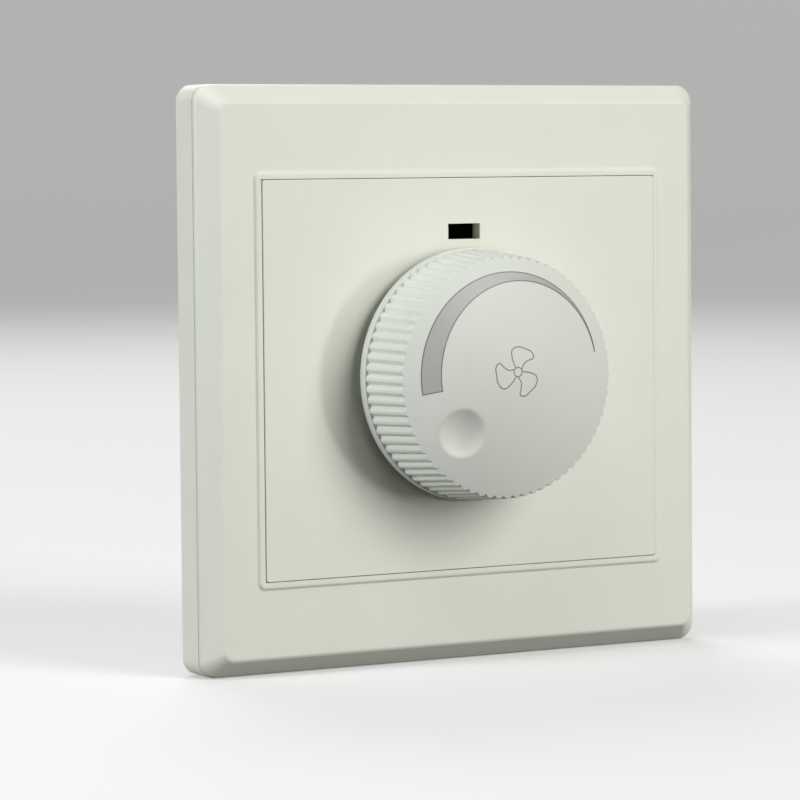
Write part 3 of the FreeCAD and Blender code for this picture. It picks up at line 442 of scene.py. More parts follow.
def makeCentrePanel(s):
    size = (panelHigh.x * 2, panelHigh.z * 2, s["corner"])
    back = panelFront - s["wall"]
    piece = loopPiece("centre_panel_skin", [(*size, back), (*size, panelFront)])
    roundEdges(piece, onLoop(*size, panelFront), s["edgeRound"], 4)
    cut = (back - overshoot, panelFront + overshoot)
    cutAway(piece, [addBar("window", 0, s["windowUp"], s["window"], *cut),
                    addRod("bore", 0, 0, s["bore"] / 2, *cut)])
    level = atDepth(panelFront)

    def onWindow(p):
        across = abs(p.x) - s["window"][0] / 2
        up = abs(p.z - s["windowUp"]) - s["window"][1] / 2
        return across < tiny and up < tiny

    roundEdges(piece, lambda a, b: level(a, b) and onWindow(a) and onWindow(b), s["windowRound"], 3)
    pegFront = s["legBack"] + s["legRoot"]
    legs = []
    for place in fourPlaces((panelHigh.x - s["legInset"], panelHigh.z - s["legInset"])):
        legs.append(addBar("leg", *place, s["leg"], s["legBack"], back + s["legRoot"]))
        legs.append(addRod("peg", *place, s["pegRadius"], s["pegBack"], pegFront, smallSteps))
    joinPieces(piece, *[soften(leg, s["legRound"]) for leg in legs])
    piece.data.transform(Matrix.Translation((s["sideways"] * mm, 0, 0)))
    finishShading(piece)
    layPiece(piece, "plate", "panel_plastic", panelWhite, "centre_panel")


makeCentrePanel(panelShape)
print("centre panel made")


# Base plate: the square tray on the wall, with its fixing slots and the board's posts

baseShape = {
    "corner": 2.5,
    "edgeRound": 0.12,
    "backRound": 0.25,
    "rim": 2.0,
    "webFront": 3.3,
    "webBack": 1.5,
    "backRim": 3.0,
    "insideCorner": 1.25,
    "slotReach": 30.15,
    "slotLength": 7.5,
    "slotWidth": 4.5,
    "boss": (11.1, 9.5),
    "bossReach": 30.85,
    "bossRound": 0.5,
    "root": 0.1,
    "postRadius": 2.6,
    "postRound": 0.3,
    "postAcross": 14.5,
    "postUp": -10.0,
    "postPilot": 1.2,
    "postPilotDepth": 5.0,
    "potHole": 3.55,
    "lightHole": (12.0, 4.0),
    "lightUp": 21.2,
    "screwHole": 1.35,
    "screwPlace": (21.3, 23.3),
    "pegHole": 1.1,
    "pegPlace": (29.25, 24.65),
    "hookHole": (2.5, 6.3),
    "hookPlace": (37.875, 22.0),
}


def slotCutter(s, across):  # a long hole with round ends, laid sideways
    length = s["slotLength"] - s["slotWidth"]
    cut = (-overshoot, seamDepth + overshoot)
    middle = addBar("slot", across, 0, (length, s["slotWidth"]), *cut)
    for side in (-1, 1):
        end = addRod("slot end", across + side * length / 2, 0, s["slotWidth"] / 2, *cut)
        applyModifier(middle, "BOOLEAN", operation="UNION", solver="EXACT", object=end)
        bpy.data.objects.remove(end)
    return middle


def makeBasePlate(s):
    tray = plateSize - 2 * s["rim"]
    recess = plateSize - 2 * s["backRim"]
    piece = loopPiece("base_plate_skin", [
        (recess, recess, s["insideCorner"], s["webBack"]),
        (recess, recess, s["insideCorner"], 0),
        (plateSize, plateSize, s["corner"], 0),
        (plateSize, plateSize, s["corner"], seamDepth),
        (tray, tray, s["insideCorner"], seamDepth),
        (tray, tray, s["insideCorner"], s["webFront"]),
    ])
    roundEdges(piece, onLoop(plateSize, plateSize, s["corner"], seamDepth), s["edgeRound"], 3)
    roundEdges(piece, onLoop(plateSize, plateSize, s["corner"], 0), s["backRound"], 3)
    cut = (-overshoot, seamDepth + overshoot)
    holes = [addRod("pot hole", 0, 0, s["potHole"], *cut),
             addBar("light hole", 0, s["lightUp"], s["lightHole"], *cut)]
    for place in fourPlaces(s["screwPlace"]):
        holes.append(addRod("screw hole", *place, s["screwHole"], *cut, smallSteps))
    for place in fourPlaces(s["pegPlace"]):
        holes.append(addRod("peg hole", *place, s["pegHole"], *cut, smallSteps))
    for place in fourPlaces(s["hookPlace"]):
        holes.append(addBar("hook hole", *place, s["hookHole"], *cut))
    holes += [slotCutter(s, side * s["slotReach"]) for side in (-1, 1)]
    cutAway(piece, holes)
    postBack = -baseHigh.y
    rootFront = s["webBack"] + s["root"]
    pilot = (postBack - overshoot, postBack + s["postPilotDepth"])
    for side in (-1, 1):
        boss = addBar("boss", side * s["bossReach"], 0, s["boss"], 0, rootFront)
        soften(boss, s["bossRound"], 3)
        cutAway(boss, [slotCutter(s, side * s["slotReach"])])
        place = (side * s["postAcross"], s["postUp"])
        post = addRod("post", *place, s["postRadius"], postBack, rootFront)
        soften(post, s["postRound"])
        cutAway(post, [addRod("pilot", *place, s["postPilot"], *pilot, smallSteps)])
        joinPieces(piece, boss, post)
    finishShading(piece)
    layPiece(piece, "plate", "base_plastic", baseWhite, "base_plate")


makeBasePlate(baseShape)
print("base plate made")


# Rear housing: the box that sits in the wall, vented and holed for the wires

housingShape = {
    "corner": 3.0,
    "wall": 1.8,
    "insideCorner": 1.5,
    "backRound": 1.0,
    "bossRadius": 3.0,
    "bossPlace": (21.3, 23.3),
    "bossPilot": 1.35,
    "bossPilotDepth": 9.0,
    "bossRoot": 0.1,
    "wireHole": 2.2,
    "wirePlace": (5.5, -19.75),
    "vent": (20.0, 1.6),
    "ventUps": (2, 6, 10, 14, 18),
    "accessHole": 2.5,
    "accessBack": 19.7,
}


def makeRearHousing(s):
    front, back = -housingLow.y, -housingHigh.y
    outer = (2 * housingHigh.x, 2 * housingHigh.z, s["corner"])
    inner = (outer[0] - 2 * s["wall"], outer[1] - 2 * s["wall"], s["insideCorner"])
    floor = back + s["wall"]
    piece = loopPiece("rear_housing_skin", [
        (*inner, floor),
        (*inner, front),
        (*outer, front),
        (*outer, back),
    ])
    roundEdges(piece, onLoop(*outer, back), s["backRound"], 5)
    cut = (back - overshoot, floor + overshoot)
    wireAcross, wireUp = s["wirePlace"]
    holes = [addRod("wire hole", side * wireAcross, wireUp, s["wireHole"], *cut) for side in (-1, 1)]
    holes += [addBar("vent", 0, up, s["vent"], *cut) for up in s["ventUps"]]
    for side in (-1, 1):
        hole = addRod("access hole", 0, 0, s["accessHole"], -2 * s["wall"], 2 * s["wall"])
        hole.data.transform(Matrix.Rotation(math.pi / 2, 4, "X"))
        place = (side * wireAcross, s["accessBack"], housingLow.z)
        hole.data.transform(Matrix.Translation(Vector(place) * mm))
        holes.append(hole)
    cutAway(piece, holes)
    pilot = (front - s["bossPilotDepth"], front + overshoot)
    for place in fourPlaces(s["bossPlace"]):
        boss = addRod("boss", *place, s["bossRadius"], floor - s["bossRoot"], front)
        cutAway(boss, [addRod("pilot", *place, s["bossPilot"], *pilot, smallSteps)])
        joinPieces(piece, boss)
    finishShading(piece)
    layPiece(piece, "plate", "housing_plastic", housingWhite, "rear_housing")


makeRearHousing(housingShape)
print("rear housing made")


# Knob: a domed, serrated cap on a thin flange

knobShape = {
    "flangeWall": 1.55,
    "flangeRound": 0.15,
    "sideRadius": 18.65,
    "rimRadius": 17.85,
    "rimRound": 0.2,
    "domeRise": 3.2,
    "faceStep": 1.0,
    "outerFaceStep": 0.4,
    "rimStep": 0.1,
    "rimSteps": 6,
    "flangeSteps": 4,
    "innerSteps": 8,
    "sharpAngle": 38,
    "wall": 1.8,
    "rimWallShare": 0.6,
    "toothCount": 72,
    "toothPhase": 0.5,
    "toothSteps": 14,
    "grooveDepth": 0.45,
    "grooveWidth": 1.163,
    "ridgeSoftness": 0.02,
    "dimpleReach": 11.6,
    "dimpleAngle": 222.0,
    "dimpleWidth": 7.6,
    "dimpleSink": 0.95,
    "dimpleSoftness": 0.16,
    "dimpleStep": 0.2,
    "dimpleMargin": 0.5,
    "pressRange": 0.9,  # vertices further than this from the face, such as those inside, are not pressed
    "hubRadius": 5.2,
    "hubSteps": 64,
    "hubBore": 3.05,
    "hubFlat": 1.55,
    "hubSplit": 0.9,
    "hubSplitDepth": 4.5,
    "insert": 9.05,
    "ribCount": 6,
    "ribWall": 1.2,
    "ribBack": 5.0,
    "ribInHub": 0.5,
    "ribInWall": 0.4,
}
domeRadius = (knobShape["rimRadius"] ** 2 + knobShape["domeRise"] ** 2) / (2 * knobShape["domeRise"])


def domeDepth(reach):  # depth of the knob's face at a distance from its axis
    return knobApex - domeRadius + math.sqrt(domeRadius ** 2 - reach ** 2)


def softMax(a, b, softness):
    overlap = max(softness - abs(a - b), 0) / softness
    return max(a, b) + overlap * overlap * softness / 4


def spread(start, end, step):  # evenly spaced values from start up to, but not with, end
    count = max(math.ceil((end - start) / step), 1)
    return [start + (end - start) * i / count for i in range(count)]


def arc(centre, radius, start, end, steps):  # (reach, depth) points, angles in degrees from the reach axis
    angles = [math.radians(start + (end - start) * i / steps) for i in range(steps + 1)]
    return [(centre[0] + radius * math.cos(a), centre[1] + radius * math.sin(a)) for a in angles]


def knobProfile(s):
    halfDimple = s["dimpleWidth"] / 2 + s["dimpleMargin"]
    rimCentre = s["rimRadius"] - s["rimRound"]
    domeEdge = rimCentre / (1 - s["rimRound"] / domeRadius)
    tilt = math.degrees(math.acos(domeEdge / domeRadius))
    rimDepth = domeDepth(domeEdge) - s["rimRound"] * math.sin(math.radians(tilt))
    flangeFront = knobBack + s["flangeWall"]
    flangeRadius = knobHigh.x
    bend = s["flangeRound"]
    innerRadius = s["rimRadius"] - s["wall"]
    innerApex = knobApex - s["wall"]
    dimpleStart = s["dimpleReach"] - halfDimple
    dimpleEnd = s["dimpleReach"] + halfDimple
    grooveStart = rimCentre - s["grooveDepth"]
    reaches = spread(0, dimpleStart, s["faceStep"])
    reaches += spread(dimpleStart, dimpleEnd, s["dimpleStep"])
    reaches += spread(dimpleEnd, grooveStart, s["outerFaceStep"])
    reaches += spread(grooveStart, domeEdge, s["rimStep"])
    points = [(reach, domeDepth(reach)) for reach in reaches]
    points += arc((rimCentre, rimDepth), s["rimRound"], tilt, 0, s["rimSteps"])
    points += [(s["sideRadius"], flangeFront)]
    points += arc((flangeRadius - bend, flangeFront - bend), bend, 90, 0, s["flangeSteps"])
    points += arc((flangeRadius - bend, knobBack + bend), bend, 0, -90, s["flangeSteps"])
    points += [(innerRadius, knobBack)]
    rimWall = s["wall"] * s["rimWallShare"]
    for index in range(s["innerSteps"]):
        inwards = index / s["innerSteps"]
        reach = innerRadius * (1 - inwards)
        points.append((reach, domeDepth(reach) - rimWall - inwards * (s["wall"] - rimWall)))
    return points + [(0, innerApex)]


def spinProfile(name, points, steps):  # draws the profile vertex by vertex, then turns it round the axis
    clearSelection()
    bpy.ops.mesh.primitive_plane_add(size=mm)
    piece = nameActive(name)
    bpy.ops.object.mode_set(mode="EDIT")
    bpy.ops.mesh.select_mode(type="VERT")
    bpy.ops.mesh.select_all(action="SELECT")
    bpy.ops.mesh.merge(type="CENTER")
    spots = [Vector((reach, -depth, 0)) * mm for reach, depth in points]
    bpy.ops.transform.translate(value=spots[0])
    for here, there in zip(spots, spots[1:]):
        bpy.ops.mesh.extrude_region_move(TRANSFORM_OT_translate={"value": there - here})
    bpy.ops.mesh.select_all(action="SELECT")
    bpy.ops.mesh.spin(steps=steps, angle=2 * math.pi, center=(0, 0, 0), axis=(0, 1, 0))
    bpy.ops.mesh.select_all(action="SELECT")
    bpy.ops.mesh.remove_doubles(threshold=2e-6)
    bpy.ops.mesh.normals_make_consistent(inside=False)
    bpy.ops.object.mode_set(mode="OBJECT")
    return piece


def cutSerrations(piece, s):  # presses a V-shaped groove, which leans in with the side, between the teeth
    pitch = 2 * math.pi / s["toothCount"]
    flangeFront = knobBack + s["flangeWall"]
    taper = (s["sideRadius"] - s["rimRadius"]) / (knobApex - s["domeRise"] - flangeFront)
    slope = 2 * s["grooveDepth"] / s["grooveWidth"]
    for vertex in piece.data.vertices:
        across, depth, up = vertex.co.x / mm, -vertex.co.y / mm, vertex.co.z / mm
        reach = math.hypot(across, up)
        crest = s["sideRadius"] - taper * (depth - flangeFront)
        onSide = crest - 2 * s["grooveDepth"] <= reach <= s["sideRadius"] + tiny
        if depth < flangeFront - tiny or not onSide:
            continue
        turn = math.atan2(up, across)
        offset = abs((turn / pitch - s["toothPhase"] + 0.5) % 1 - 0.5) * pitch * s["sideRadius"]
        groove = crest - s["grooveDepth"] + offset * slope
        pressed = -softMax(-reach, -groove, s["ridgeSoftness"])
        vertex.co.x *= pressed / reach
        vertex.co.z *= pressed / reach


def pressDimple(piece, s):  # sinks a round dish with a soft lip into the face
    turn = math.radians(s["dimpleAngle"])
    reach = s["dimpleReach"]
    centre = Vector((reach * math.cos(turn), -domeDepth(reach), reach * math.sin(turn)))
    outwards = (centre - Vector((0, domeRadius - knobApex, 0))).normalized()
    dish = ((s["dimpleWidth"] / 2) ** 2 + s["dimpleSink"] ** 2) / (2 * s["dimpleSink"])
    for vertex in piece.data.vertices:
        spot = vertex.co / mm - centre
        sunk = -spot.dot(outwards)
        away = (spot + outwards * sunk).length
        if away > s["dimpleWidth"] or abs(sunk) > s["pressRange"]:
            continue
        floor = math.sqrt(dish ** 2 - min(away, dish) ** 2) - dish + s["dimpleSink"]
        vertex.co -= outwards * ((softMax(sunk, floor, s["dimpleSoftness"]) - sunk) * mm)


def makeHub(s):  # the split, D-shaped socket and the ribs inside the cap
    top = knobApex - s["wall"] / 2
    hub = addRod("hub", 0, 0, s["hubRadius"], knobBack, top, s["hubSteps"])
    socket = addRod("socket", 0, 0, s["hubBore"], knobBack - overshoot, knobBack + s["insert"])
    reach = s["hubRadius"] + overshoot
    cutBack = knobBack - 2 * overshoot
    cutAway(socket, [addBox("flat", (s["hubFlat"], cutBack, -reach), (reach, knobApex, reach))])
    cutAway(hub, [socket])
    cutAway(hub, [addBar("split", 0, 0, (2 * reach, s["hubSplit"]), cutBack, knobBack + s["hubSplitDepth"])])
    inner = s["rimRadius"] - s["wall"]
    ribLow = (s["hubRadius"] - s["ribInHub"], knobBack + s["ribBack"], -s["ribWall"] / 2)
    ribHigh = (inner + s["ribInWall"], domeDepth(inner) - s["wall"] / 3, s["ribWall"] / 2)
    for index in range(s["ribCount"]):
        rib = addBox("rib", ribLow, ribHigh)
        rib.data.transform(Matrix.Rotation(2 * math.pi * index / s["ribCount"], 4, "Y"))
        joinPieces(hub, rib)
    return hub


def makeKnob(s):
    piece = spinProfile("knob_cap", knobProfile(s), s["toothCount"] * s["toothSteps"])
    cutSerrations(piece, s)
    pressDimple(piece, s)
    makeActive(piece)
    bpy.ops.object.shade_smooth_by_angle(angle=math.radians(s["sharpAngle"]))
    joinPieces(piece, makeHub(s))
    layPiece(piece, "knob", "knob_plastic", knobWhite, "knob")


makeKnob(knobShape)
print("knob made")


# Print on the knob: a growing wedge for the speed and a fan pictogram

printShape = {
    "outerCentre": (0.0, 0.43),
    "outerRadius": 15.0,
    "innerCentre": (1.38, 0.63),
    "innerRadius": 13.5,
    "scaleStart": 11.4,
    "fillStart": 30.0,
    "scaleEnd": 189.3,
    "scaleSteps": (150, 6),
    "lineWidth": 0.16,
    "inkLift": 0.012,
    "fillLift": 0.022,
    "inkWall": 0.008,
    "fanUp": 0.9,
    "fanHub": 0.68,
    "fanHubSteps": (48, 12),
    "fanLine": 0.17,
    "fanLineSteps": 2,
    "fanLift": 0.004,
    "bladeCount": 3,
    "bladeSteps": 8,
    "blade": [(-0.42, 0.62), (-0.94, 2.1), (-0.88, 3.25), (0.0, 3.66), (1.45, 3.32), (2.62, 2.62),
              (2.68, 1.98), (1.85, 1.66), (1.05, 1.18), (0.68, 0.42)],
}


def layOnFace(piece, lift):  # bends a flat print, drawn about depth 0, onto the domed face
    for vertex in piece.data.vertices:
        depth = domeDepth(math.hypot(vertex.co.x, vertex.co.z) / mm)
        vertex.co.y -= (depth + lift) * mm


def scaleField(name, s, start, grow, lift):  # one layer of the crescent between two circles
    clearSelection()
    stepsAlong, stepsOver = s["scaleSteps"]
    bpy.ops.mesh.primitive_grid_add(x_subdivisions=stepsAlong, y_subdivisions=stepsOver, size=1)
    piece = nameActive(name)
    turnGrow = math.degrees(grow / s["outerRadius"])
    offset = Vector(s["innerCentre"]) - Vector(s["outerCentre"])
    for vertex in piece.data.vertices:
        along, over = vertex.co.x + 0.5, vertex.co.y + 0.5
        turn = math.radians(start - turnGrow + (s["scaleEnd"] - start + 2 * turnGrow) * along)
        ray = Vector((math.cos(turn), math.sin(turn)))
        inner = offset.dot(ray) + math.sqrt(s["innerRadius"] ** 2 - offset.cross(ray) ** 2) - grow
        spot = Vector(s["outerCentre"]) + ray * (inner + (s["outerRadius"] + grow - inner) * over)
        vertex.co = Vector((spot.x, 0, spot.y)) * mm
    applyModifier(piece, "SOLIDIFY", thickness=s["inkWall"] * mm, offset=0)
    layOnFace(piece, lift)
    makeActive(piece)
    bpy.ops.object.mode_set(mode="EDIT")
    bpy.ops.mesh.select_all(action="SELECT")
    bpy.ops.mesh.normals_make_consistent(inside=False)
    bpy.ops.object.mode_set(mode="OBJECT")
    return piece


def fanLines(s):  # the blade's outline is one smooth curve, copied round the hub
    clearSelection()
    bpy.ops.curve.primitive_bezier_curve_add(rotation=(math.pi / 2, 0, 0))
    blade = bpy.context.object
    blade.data.bevel_depth = s["fanLine"] / 2 * mm
    blade.data.bevel_resolution = s["fanLineSteps"]
    blade.data.use_fill_caps = True
    blade.data.resolution_u = s["bladeSteps"]
    points = blade.data.splines[0].bezier_points
    points.add(len(s["blade"]) - len(points))
    for point, (across, up) in zip(points, s["blade"]):
        point.co = Vector((across, up, 0)) * mm
        point.handle_left_type = point.handle_right_type = "AUTO"
    bpy.ops.object.convert(target="MESH")
    piece = applyPlace(nameActive("fan_print"))
    blades = [piece]
    for index in range(1, s["bladeCount"]):
        copy = piece.copy()
        copy.data = piece.data.copy()
        bpy.context.collection.objects.link(copy)
        copy.data.transform(Matrix.Rotation(2 * math.pi * index / s["bladeCount"], 4, "Y"))
        blades.append(copy)
    clearSelection()
    stepsRound, stepsOver = s["fanHubSteps"]
    bpy.ops.mesh.primitive_torus_add(major_radius=s["fanHub"] * mm, minor_radius=s["fanLine"] / 2 * mm,
                                     major_segments=stepsRound, minor_segments=stepsOver,
                                     rotation=(math.pi / 2, 0, 0))
    hub = applyPlace(nameActive("fan_hub"))
    joinPieces(piece, *blades[1:], hub)
    flatness = s["inkWall"] / s["fanLine"]
    piece.data.transform(Matrix.Translation((0, 0, s["fanUp"] * mm)) @ Matrix.Diagonal((1, flatness, 1, 1)))
    layOnFace(piece, s["fanLift"])
    return piece


def makePrint(s):
    halfLine = s["lineWidth"] / 2
    outline = scaleField("scale_outline_print", s, s["scaleStart"], halfLine, s["inkLift"])
    fill = scaleField("scale_fill_print", s, s["fillStart"], -halfLine, s["fillLift"])
    layPiece(outline, "knob", "knob_plastic", inkDark)
    layPiece(fill, "knob", "knob_plastic", scaleGrey)
    layPiece(fanLines(s), "knob", "knob_plastic", inkDark)


makePrint(printShape)
print("print laid on the knob")


# Finishes of the inner pieces, which keep the solids' own meshes

def metal(name, colour, gloss, grain=(1.0, 1.0, 1.0), grainMm=0.4, grainHeightMm=0.003):
    finish = Finish(name, Metallic=1.0)
    stretch = finish.add("ShaderNodeMapping")
    stretch.inputs["Scale"].default_value = grain
    finish.link(finish.place, stretch.inputs["Vector"])
    finish.place = stretch.outputs["Vector"]
    streaks = finish.noise(grainMm, 3)
    finish.colour(finish.ramp(streaks, [(0.3, shade(colour, 0.9)), (0.7, shade(colour, 1.08))]))
    finish.gloss(streaks, *gloss)
    finish.bump(streaks, grainHeightMm)
    return finish.material


def along(finish, axis, low, high):  # 0 to 1 along one axis of the part, between two places in millimetres
    split = finish.add("ShaderNodeSeparateXYZ")
    finish.link(finish.place, split.inputs["Vector"])
    node = finish.add("ShaderNodeMapRange")
    node.inputs["From Min"].default_value = low * mm
    node.inputs["From Max"].default_value = high * mm
    finish.link(split.outputs[axis], node.inputs["Value"])
    return node.outputs["Result"]


def banded(name, node, axis, stops, gloss):  # coloured rings along a piece
    finish = Finish(name, IOR=1.5)
    low, high = boxOf(node)
    place = along(finish, axis, low["XYZ".index(axis)], high["XYZ".index(axis)])
    bands = finish.ramp(place, stops)
    bands.node.color_ramp.interpolation = "CONSTANT"
    finish.colour(bands)
    finish.gloss(finish.noise(0.3, 2), *gloss)
    return finish.material


def wound(name, colour, wireMm):  # turns of wire stacked along the depth
    finish = Finish(name, Metallic=1.0)
    turns = finish.add("ShaderNodeTexWave", wave_type="BANDS", bands_direction="Y", wave_profile="SIN")
    turns.inputs["Scale"].default_value = math.pi / 10 / (wireMm * mm)
    finish.link(finish.place, turns.inputs["Vector"])
    rise = turns.outputs["Fac"]
    # The colour darkens to 0.45 of the copper's in the hollows between the turns: painted shade. The bump
    # from the same bands is the real shape of the turns.
    finish.colour(finish.ramp(rise, [(0.0, shade(colour, 0.45)), (0.55, colour)]))
    finish.gloss(finish.noise(0.5, 2), 0.22, 0.36)
    finish.bump(rise, wireMm / 3)
    return finish.material


def speckled(name, colour, gloss, speckMm, contrast=0.25):  # fibres or grains that show in the surface
    finish = Finish(name, IOR=1.5)
    specks = finish.noise(speckMm, 4, 0.65)
    dark, pale = shade(colour, 1 - contrast), shade(colour, 1 + contrast)
    finish.colour(finish.ramp(specks, [(0.32, dark), (0.68, pale)]))
    finish.gloss(specks, *gloss)
    finish.bump(specks, 0.01)
    return finish.material


def lampLens(name, colour):
    finish = Finish(name, IOR=1.49, Transmission_Weight=0.55)
    depth = along(finish, "Y", boxOf("indicator_lamp")[0].y, boxOf("indicator_lamp")[1].y)
    # Paler at the front, towards the window, and darker towards the back of the lamp: painted shade.
    finish.colour(finish.ramp(depth, [(0.0, shade(colour, 1.1)), (0.6, shade(colour, 0.7))]))
    finish.gloss(finish.noise(0.4, 2), 0.12, 0.2)
    return finish.material


zincSteel = metal("zinc plated steel", (0.62, 0.63, 0.64), (0.26, 0.40))
springSteel = metal("spring steel", (0.48, 0.49, 0.51), (0.24, 0.36), (1, 0.15, 1))
turnedBrass = metal("nickel plated brass", (0.66, 0.62, 0.54), (0.22, 0.34), (0.2, 1, 0.2))
clampBrass = metal("clamp brass", (0.70, 0.52, 0.26), (0.26, 0.40))
bronzeStrip = metal("bronze strip", (0.66, 0.42, 0.22), (0.24, 0.38), (0.15, 1, 1))
tinnedBrass = metal("tinned brass", (0.68, 0.67, 0.63), (0.28, 0.42))
tinPlate = metal("tin plate", (0.66, 0.67, 0.68), (0.24, 0.40), (1, 0.2, 1), 0.8)
sheetAluminium = metal("sheet aluminium", (0.74, 0.75, 0.76), (0.30, 0.46), (1, 1, 0.1), 0.3)
innerFinishes = {
    "housing_screws": zincSteel,
    "board_screws": zincSteel,
    "triac_screw": zincSteel,
    "terminal_screws": zincSteel,
    "pot_nut": zincSteel,
    "pot_washer": zincSteel,
    "hub_ring": springSteel,
    "shaft_clip": springSteel,
    "pot_shaft": turnedBrass,
    "pot_bushing": turnedBrass,
    "terminal_clamps": clampBrass,
    "wiper": bronzeStrip,
    "pot_terminals": tinnedBrass,
    "pot_case": tinPlate,
    "heat_sink": sheetAluminium,
    "choke_winding": wound("enamelled copper", (0.62, 0.27, 0.12), 0.5),
    "choke_core": speckled("ferrite", (0.05, 0.05, 0.055), (0.45, 0.6), 0.2),
    "pot_track": speckled("phenolic paper", (0.28, 0.13, 0.05), (0.38, 0.52), 0.6),
    "circuit_board": speckled("board laminate", (0.42, 0.30, 0.12), (0.32, 0.46), 0.9, 0.12),
    "pot_rotor": mouldedPlastic("rotor nylon", (0.55, 0.54, 0.48), (0.40, 0.52), 0.4, 0.01),
    "triac": mouldedPlastic("black epoxy", (0.022, 0.022, 0.024), (0.36, 0.5), 0.2, 0.01),
    "terminal_block": mouldedPlastic("terminal black", (0.028, 0.028, 0.03), (0.34, 0.46), 0.3, 0.008),
    "film_capacitor": mouldedPlastic("capacitor red", (0.36, 0.06, 0.035), (0.28, 0.4), 0.3, 0.006),
    "resistors": banded("resistor lacquer", "resistors", "X", [
        (0.0, (0.62, 0.60, 0.56)), (0.27, (0.60, 0.46, 0.28)), (0.36, (0.16, 0.07, 0.03)),
        (0.41, (0.60, 0.46, 0.28)), (0.46, (0.02, 0.02, 0.02)), (0.51, (0.60, 0.46, 0.28)),
        (0.56, (0.62, 0.16, 0.02)), (0.61, (0.60, 0.46, 0.28)), (0.66, (0.55, 0.40, 0.10)),
        (0.70, (0.60, 0.46, 0.28)), (0.74, (0.62, 0.60, 0.56))], (0.3, 0.42)),
    "diac": banded("diac glass", "diac", "X", [
        (0.0, (0.62, 0.60, 0.56)), (0.28, (0.05, 0.12, 0.30)), (0.44, (0.02, 0.02, 0.02)),
        (0.52, (0.05, 0.12, 0.30)), (0.72, (0.62, 0.60, 0.56))], (0.1, 0.2)),
    "indicator_lamp": lampLens("lamp lens", (0.42, 0.05, 0.03)),
}
for node, finish in innerFinishes.items():
    for index in range(len(nodes[node].data.materials)):
        nodes[node].data.materials[index] = finish
print("inner pieces finished")


# Stage, light and camera

stageShape = {
    "floorUp": -0.0431,
    "floorReach": 1.5,
    "coveRadius": 0.9,
    "coveSteps": 12,
    "sides": 96,
    "colour": (0.5, 0.5, 0.492),
    "bounce": (0.05, 0.05, 0.049),
    "glow": 0.7,
}


def studioPaper(s):  # pale where it is seen, dull in the light that it sends back onto the part
    finish = Finish("studio paper", Roughness=0.9, Emission_Color=(*s["colour"], 1))
    path = finish.add("ShaderNodeLightPath")
    seen = path.outputs["Is Camera Ray"]
    for ray in ("Is Glossy Ray", "Is Transmission Ray"):
        either = finish.add("ShaderNodeMath", operation="MAXIMUM")
        finish.link(seen, either.inputs[0])
        finish.link(path.outputs[ray], either.inputs[1])
        seen = either.outputs["Value"]
    dark, pale = shade(s["colour"], 0.99), shade(s["colour"], 1.01)
    paper = finish.ramp(finish.noise(180, 2), [(0.3, dark), (0.7, pale)])
    mix = finish.add("ShaderNodeMix", data_type="RGBA")
    finish.link(seen, mix.inputs["Factor"])
    mix.inputs["A"].default_value = (*s["bounce"], 1)
    finish.link(paper, mix.inputs["B"])
    finish.colour(mix.outputs["Result"])
    finish.link(finish.span(seen, 0, s["glow"]), finish.shader.inputs["Emission Strength"])
    return finish.material


def makeStage(s):
    clearSelection()
    bpy.ops.mesh.primitive_circle_add(vertices=s["sides"], radius=s["floorReach"], fill_type="NGON",
                                      location=(0, 0, s["floorUp"]))
    floor = applyPlace(nameActive("studio_floor"))
    pickEdges(floor, lambda a, b: True)
    for step in range(s["coveSteps"]):
        before = math.radians(90 * step / s["coveSteps"])
        after = math.radians(90 * (step + 1) / s["coveSteps"])
        grow = s["coveRadius"] * (math.sin(after) - math.sin(before))
        reach = s["floorReach"] + s["coveRadius"] * math.sin(before)
        rise = s["coveRadius"] * (math.cos(before) - math.cos(after))
        bpy.ops.mesh.extrude_edges_move(TRANSFORM_OT_translate={"value": (0, 0, rise)})
        bpy.ops.transform.resize(value=((reach + grow) / reach, (reach + grow) / reach, 1))
    bpy.ops.object.mode_set(mode="OBJECT")
    bpy.ops.object.shade_smooth()
    floor.data.materials.append(studioPaper(s))


makeStage(stageShape)

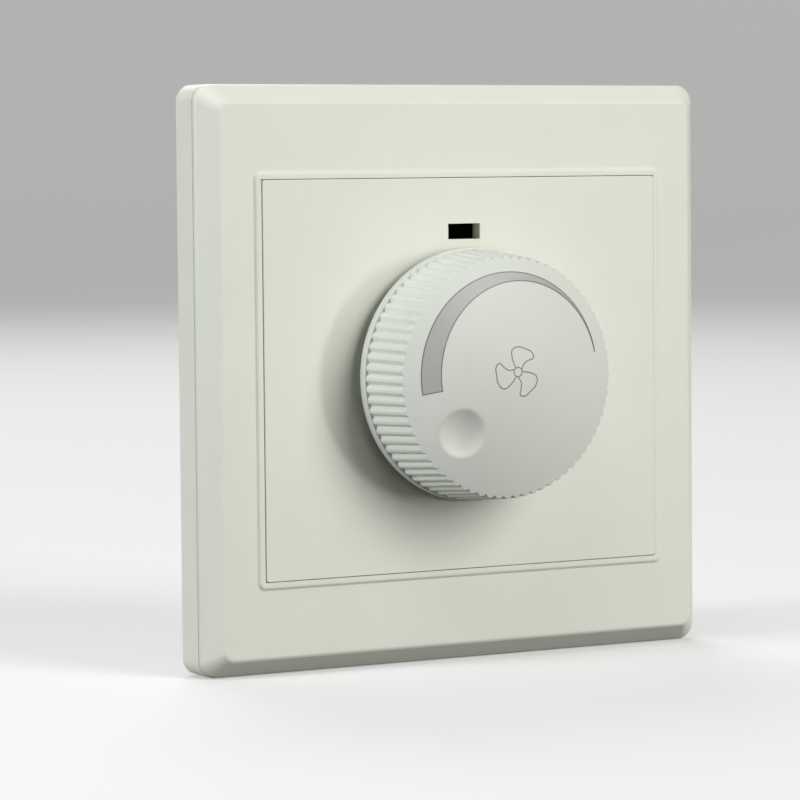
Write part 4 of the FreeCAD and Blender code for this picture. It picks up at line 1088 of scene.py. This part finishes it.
lamps = {
    "key": {"place": (0.54, -1.2, 0.62), "size": (0.7, 0.9), "power": 16.5, "colour": (1.0, 1.0, 0.99)},
    "strip": {"place": (0.70, -1.25, 0.06), "size": (0.1, 0.2), "power": 2.9, "colour": (1.0, 1.0, 0.99)},
    "top": {"place": (-0.315, -0.2, 0.82), "size": (0.5, 0.4), "power": 2.4, "colour": (0.93, 0.96, 1.0)},
    "left": {"place": (-0.9, 0.04, 0.24), "size": (0.2, 0.5), "power": 6.0, "colour": (0.94, 0.965, 1.0)},
    "back": {"place": (0.2, 0.8, 0.8), "size": (0.6, 0.6), "power": 6.0, "colour": (1.0, 1.0, 1.0)},
}
worldLight = {"colour": (1.0, 1.0, 0.985), "strength": 0.02}


def makeLamp(name, s):
    clearSelection()
    bpy.ops.object.light_add(type="AREA", location=s["place"])
    lamp = bpy.context.object
    lamp.name = name + "_lamp"
    lamp.rotation_euler = (-Vector(s["place"])).to_track_quat("-Z", "Y").to_euler()
    lamp.data.shape = "RECTANGLE"
    lamp.data.size, lamp.data.size_y = s["size"]
    lamp.data.energy = s["power"]
    lamp.data.color = s["colour"]
    lamp.visible_camera = False


for lampName, lampShape in lamps.items():
    makeLamp(lampName, lampShape)
world = bpy.context.scene.world or bpy.data.worlds.new("studio")
bpy.context.scene.world = world
world.use_nodes = True
sky = world.node_tree.nodes["Background"]
sky.inputs["Color"].default_value = (*worldLight["colour"], 1)
sky.inputs["Strength"].default_value = worldLight["strength"]

cameraShape = {
    "place": (-0.2819, -0.4826, 0.0311),
    "yaw": -29.76,
    "pitch": -3.63,
    "roll": 0.53,
    "lens": 166.6,
    "sensor": 36,
    "clipStart": 0.01,
}


def makeCamera(s):
    clearSelection()
    bpy.ops.object.camera_add(location=s["place"])
    camera = bpy.context.object
    yaw = Matrix.Rotation(math.radians(s["yaw"]), 3, "Z")
    pitch = Matrix.Rotation(math.radians(90 + s["pitch"]), 3, "X")
    roll = Matrix.Rotation(math.radians(-s["roll"]), 3, "Z")
    camera.rotation_euler = (yaw @ pitch @ roll).to_euler()
    camera.data.lens = s["lens"]
    camera.data.sensor_width = s["sensor"]
    camera.data.clip_start = s["clipStart"]
    bpy.context.scene.camera = camera


makeCamera(cameraShape)
bpy.context.scene.view_settings.view_transform = "Standard"
print("stage, lamps and camera set")
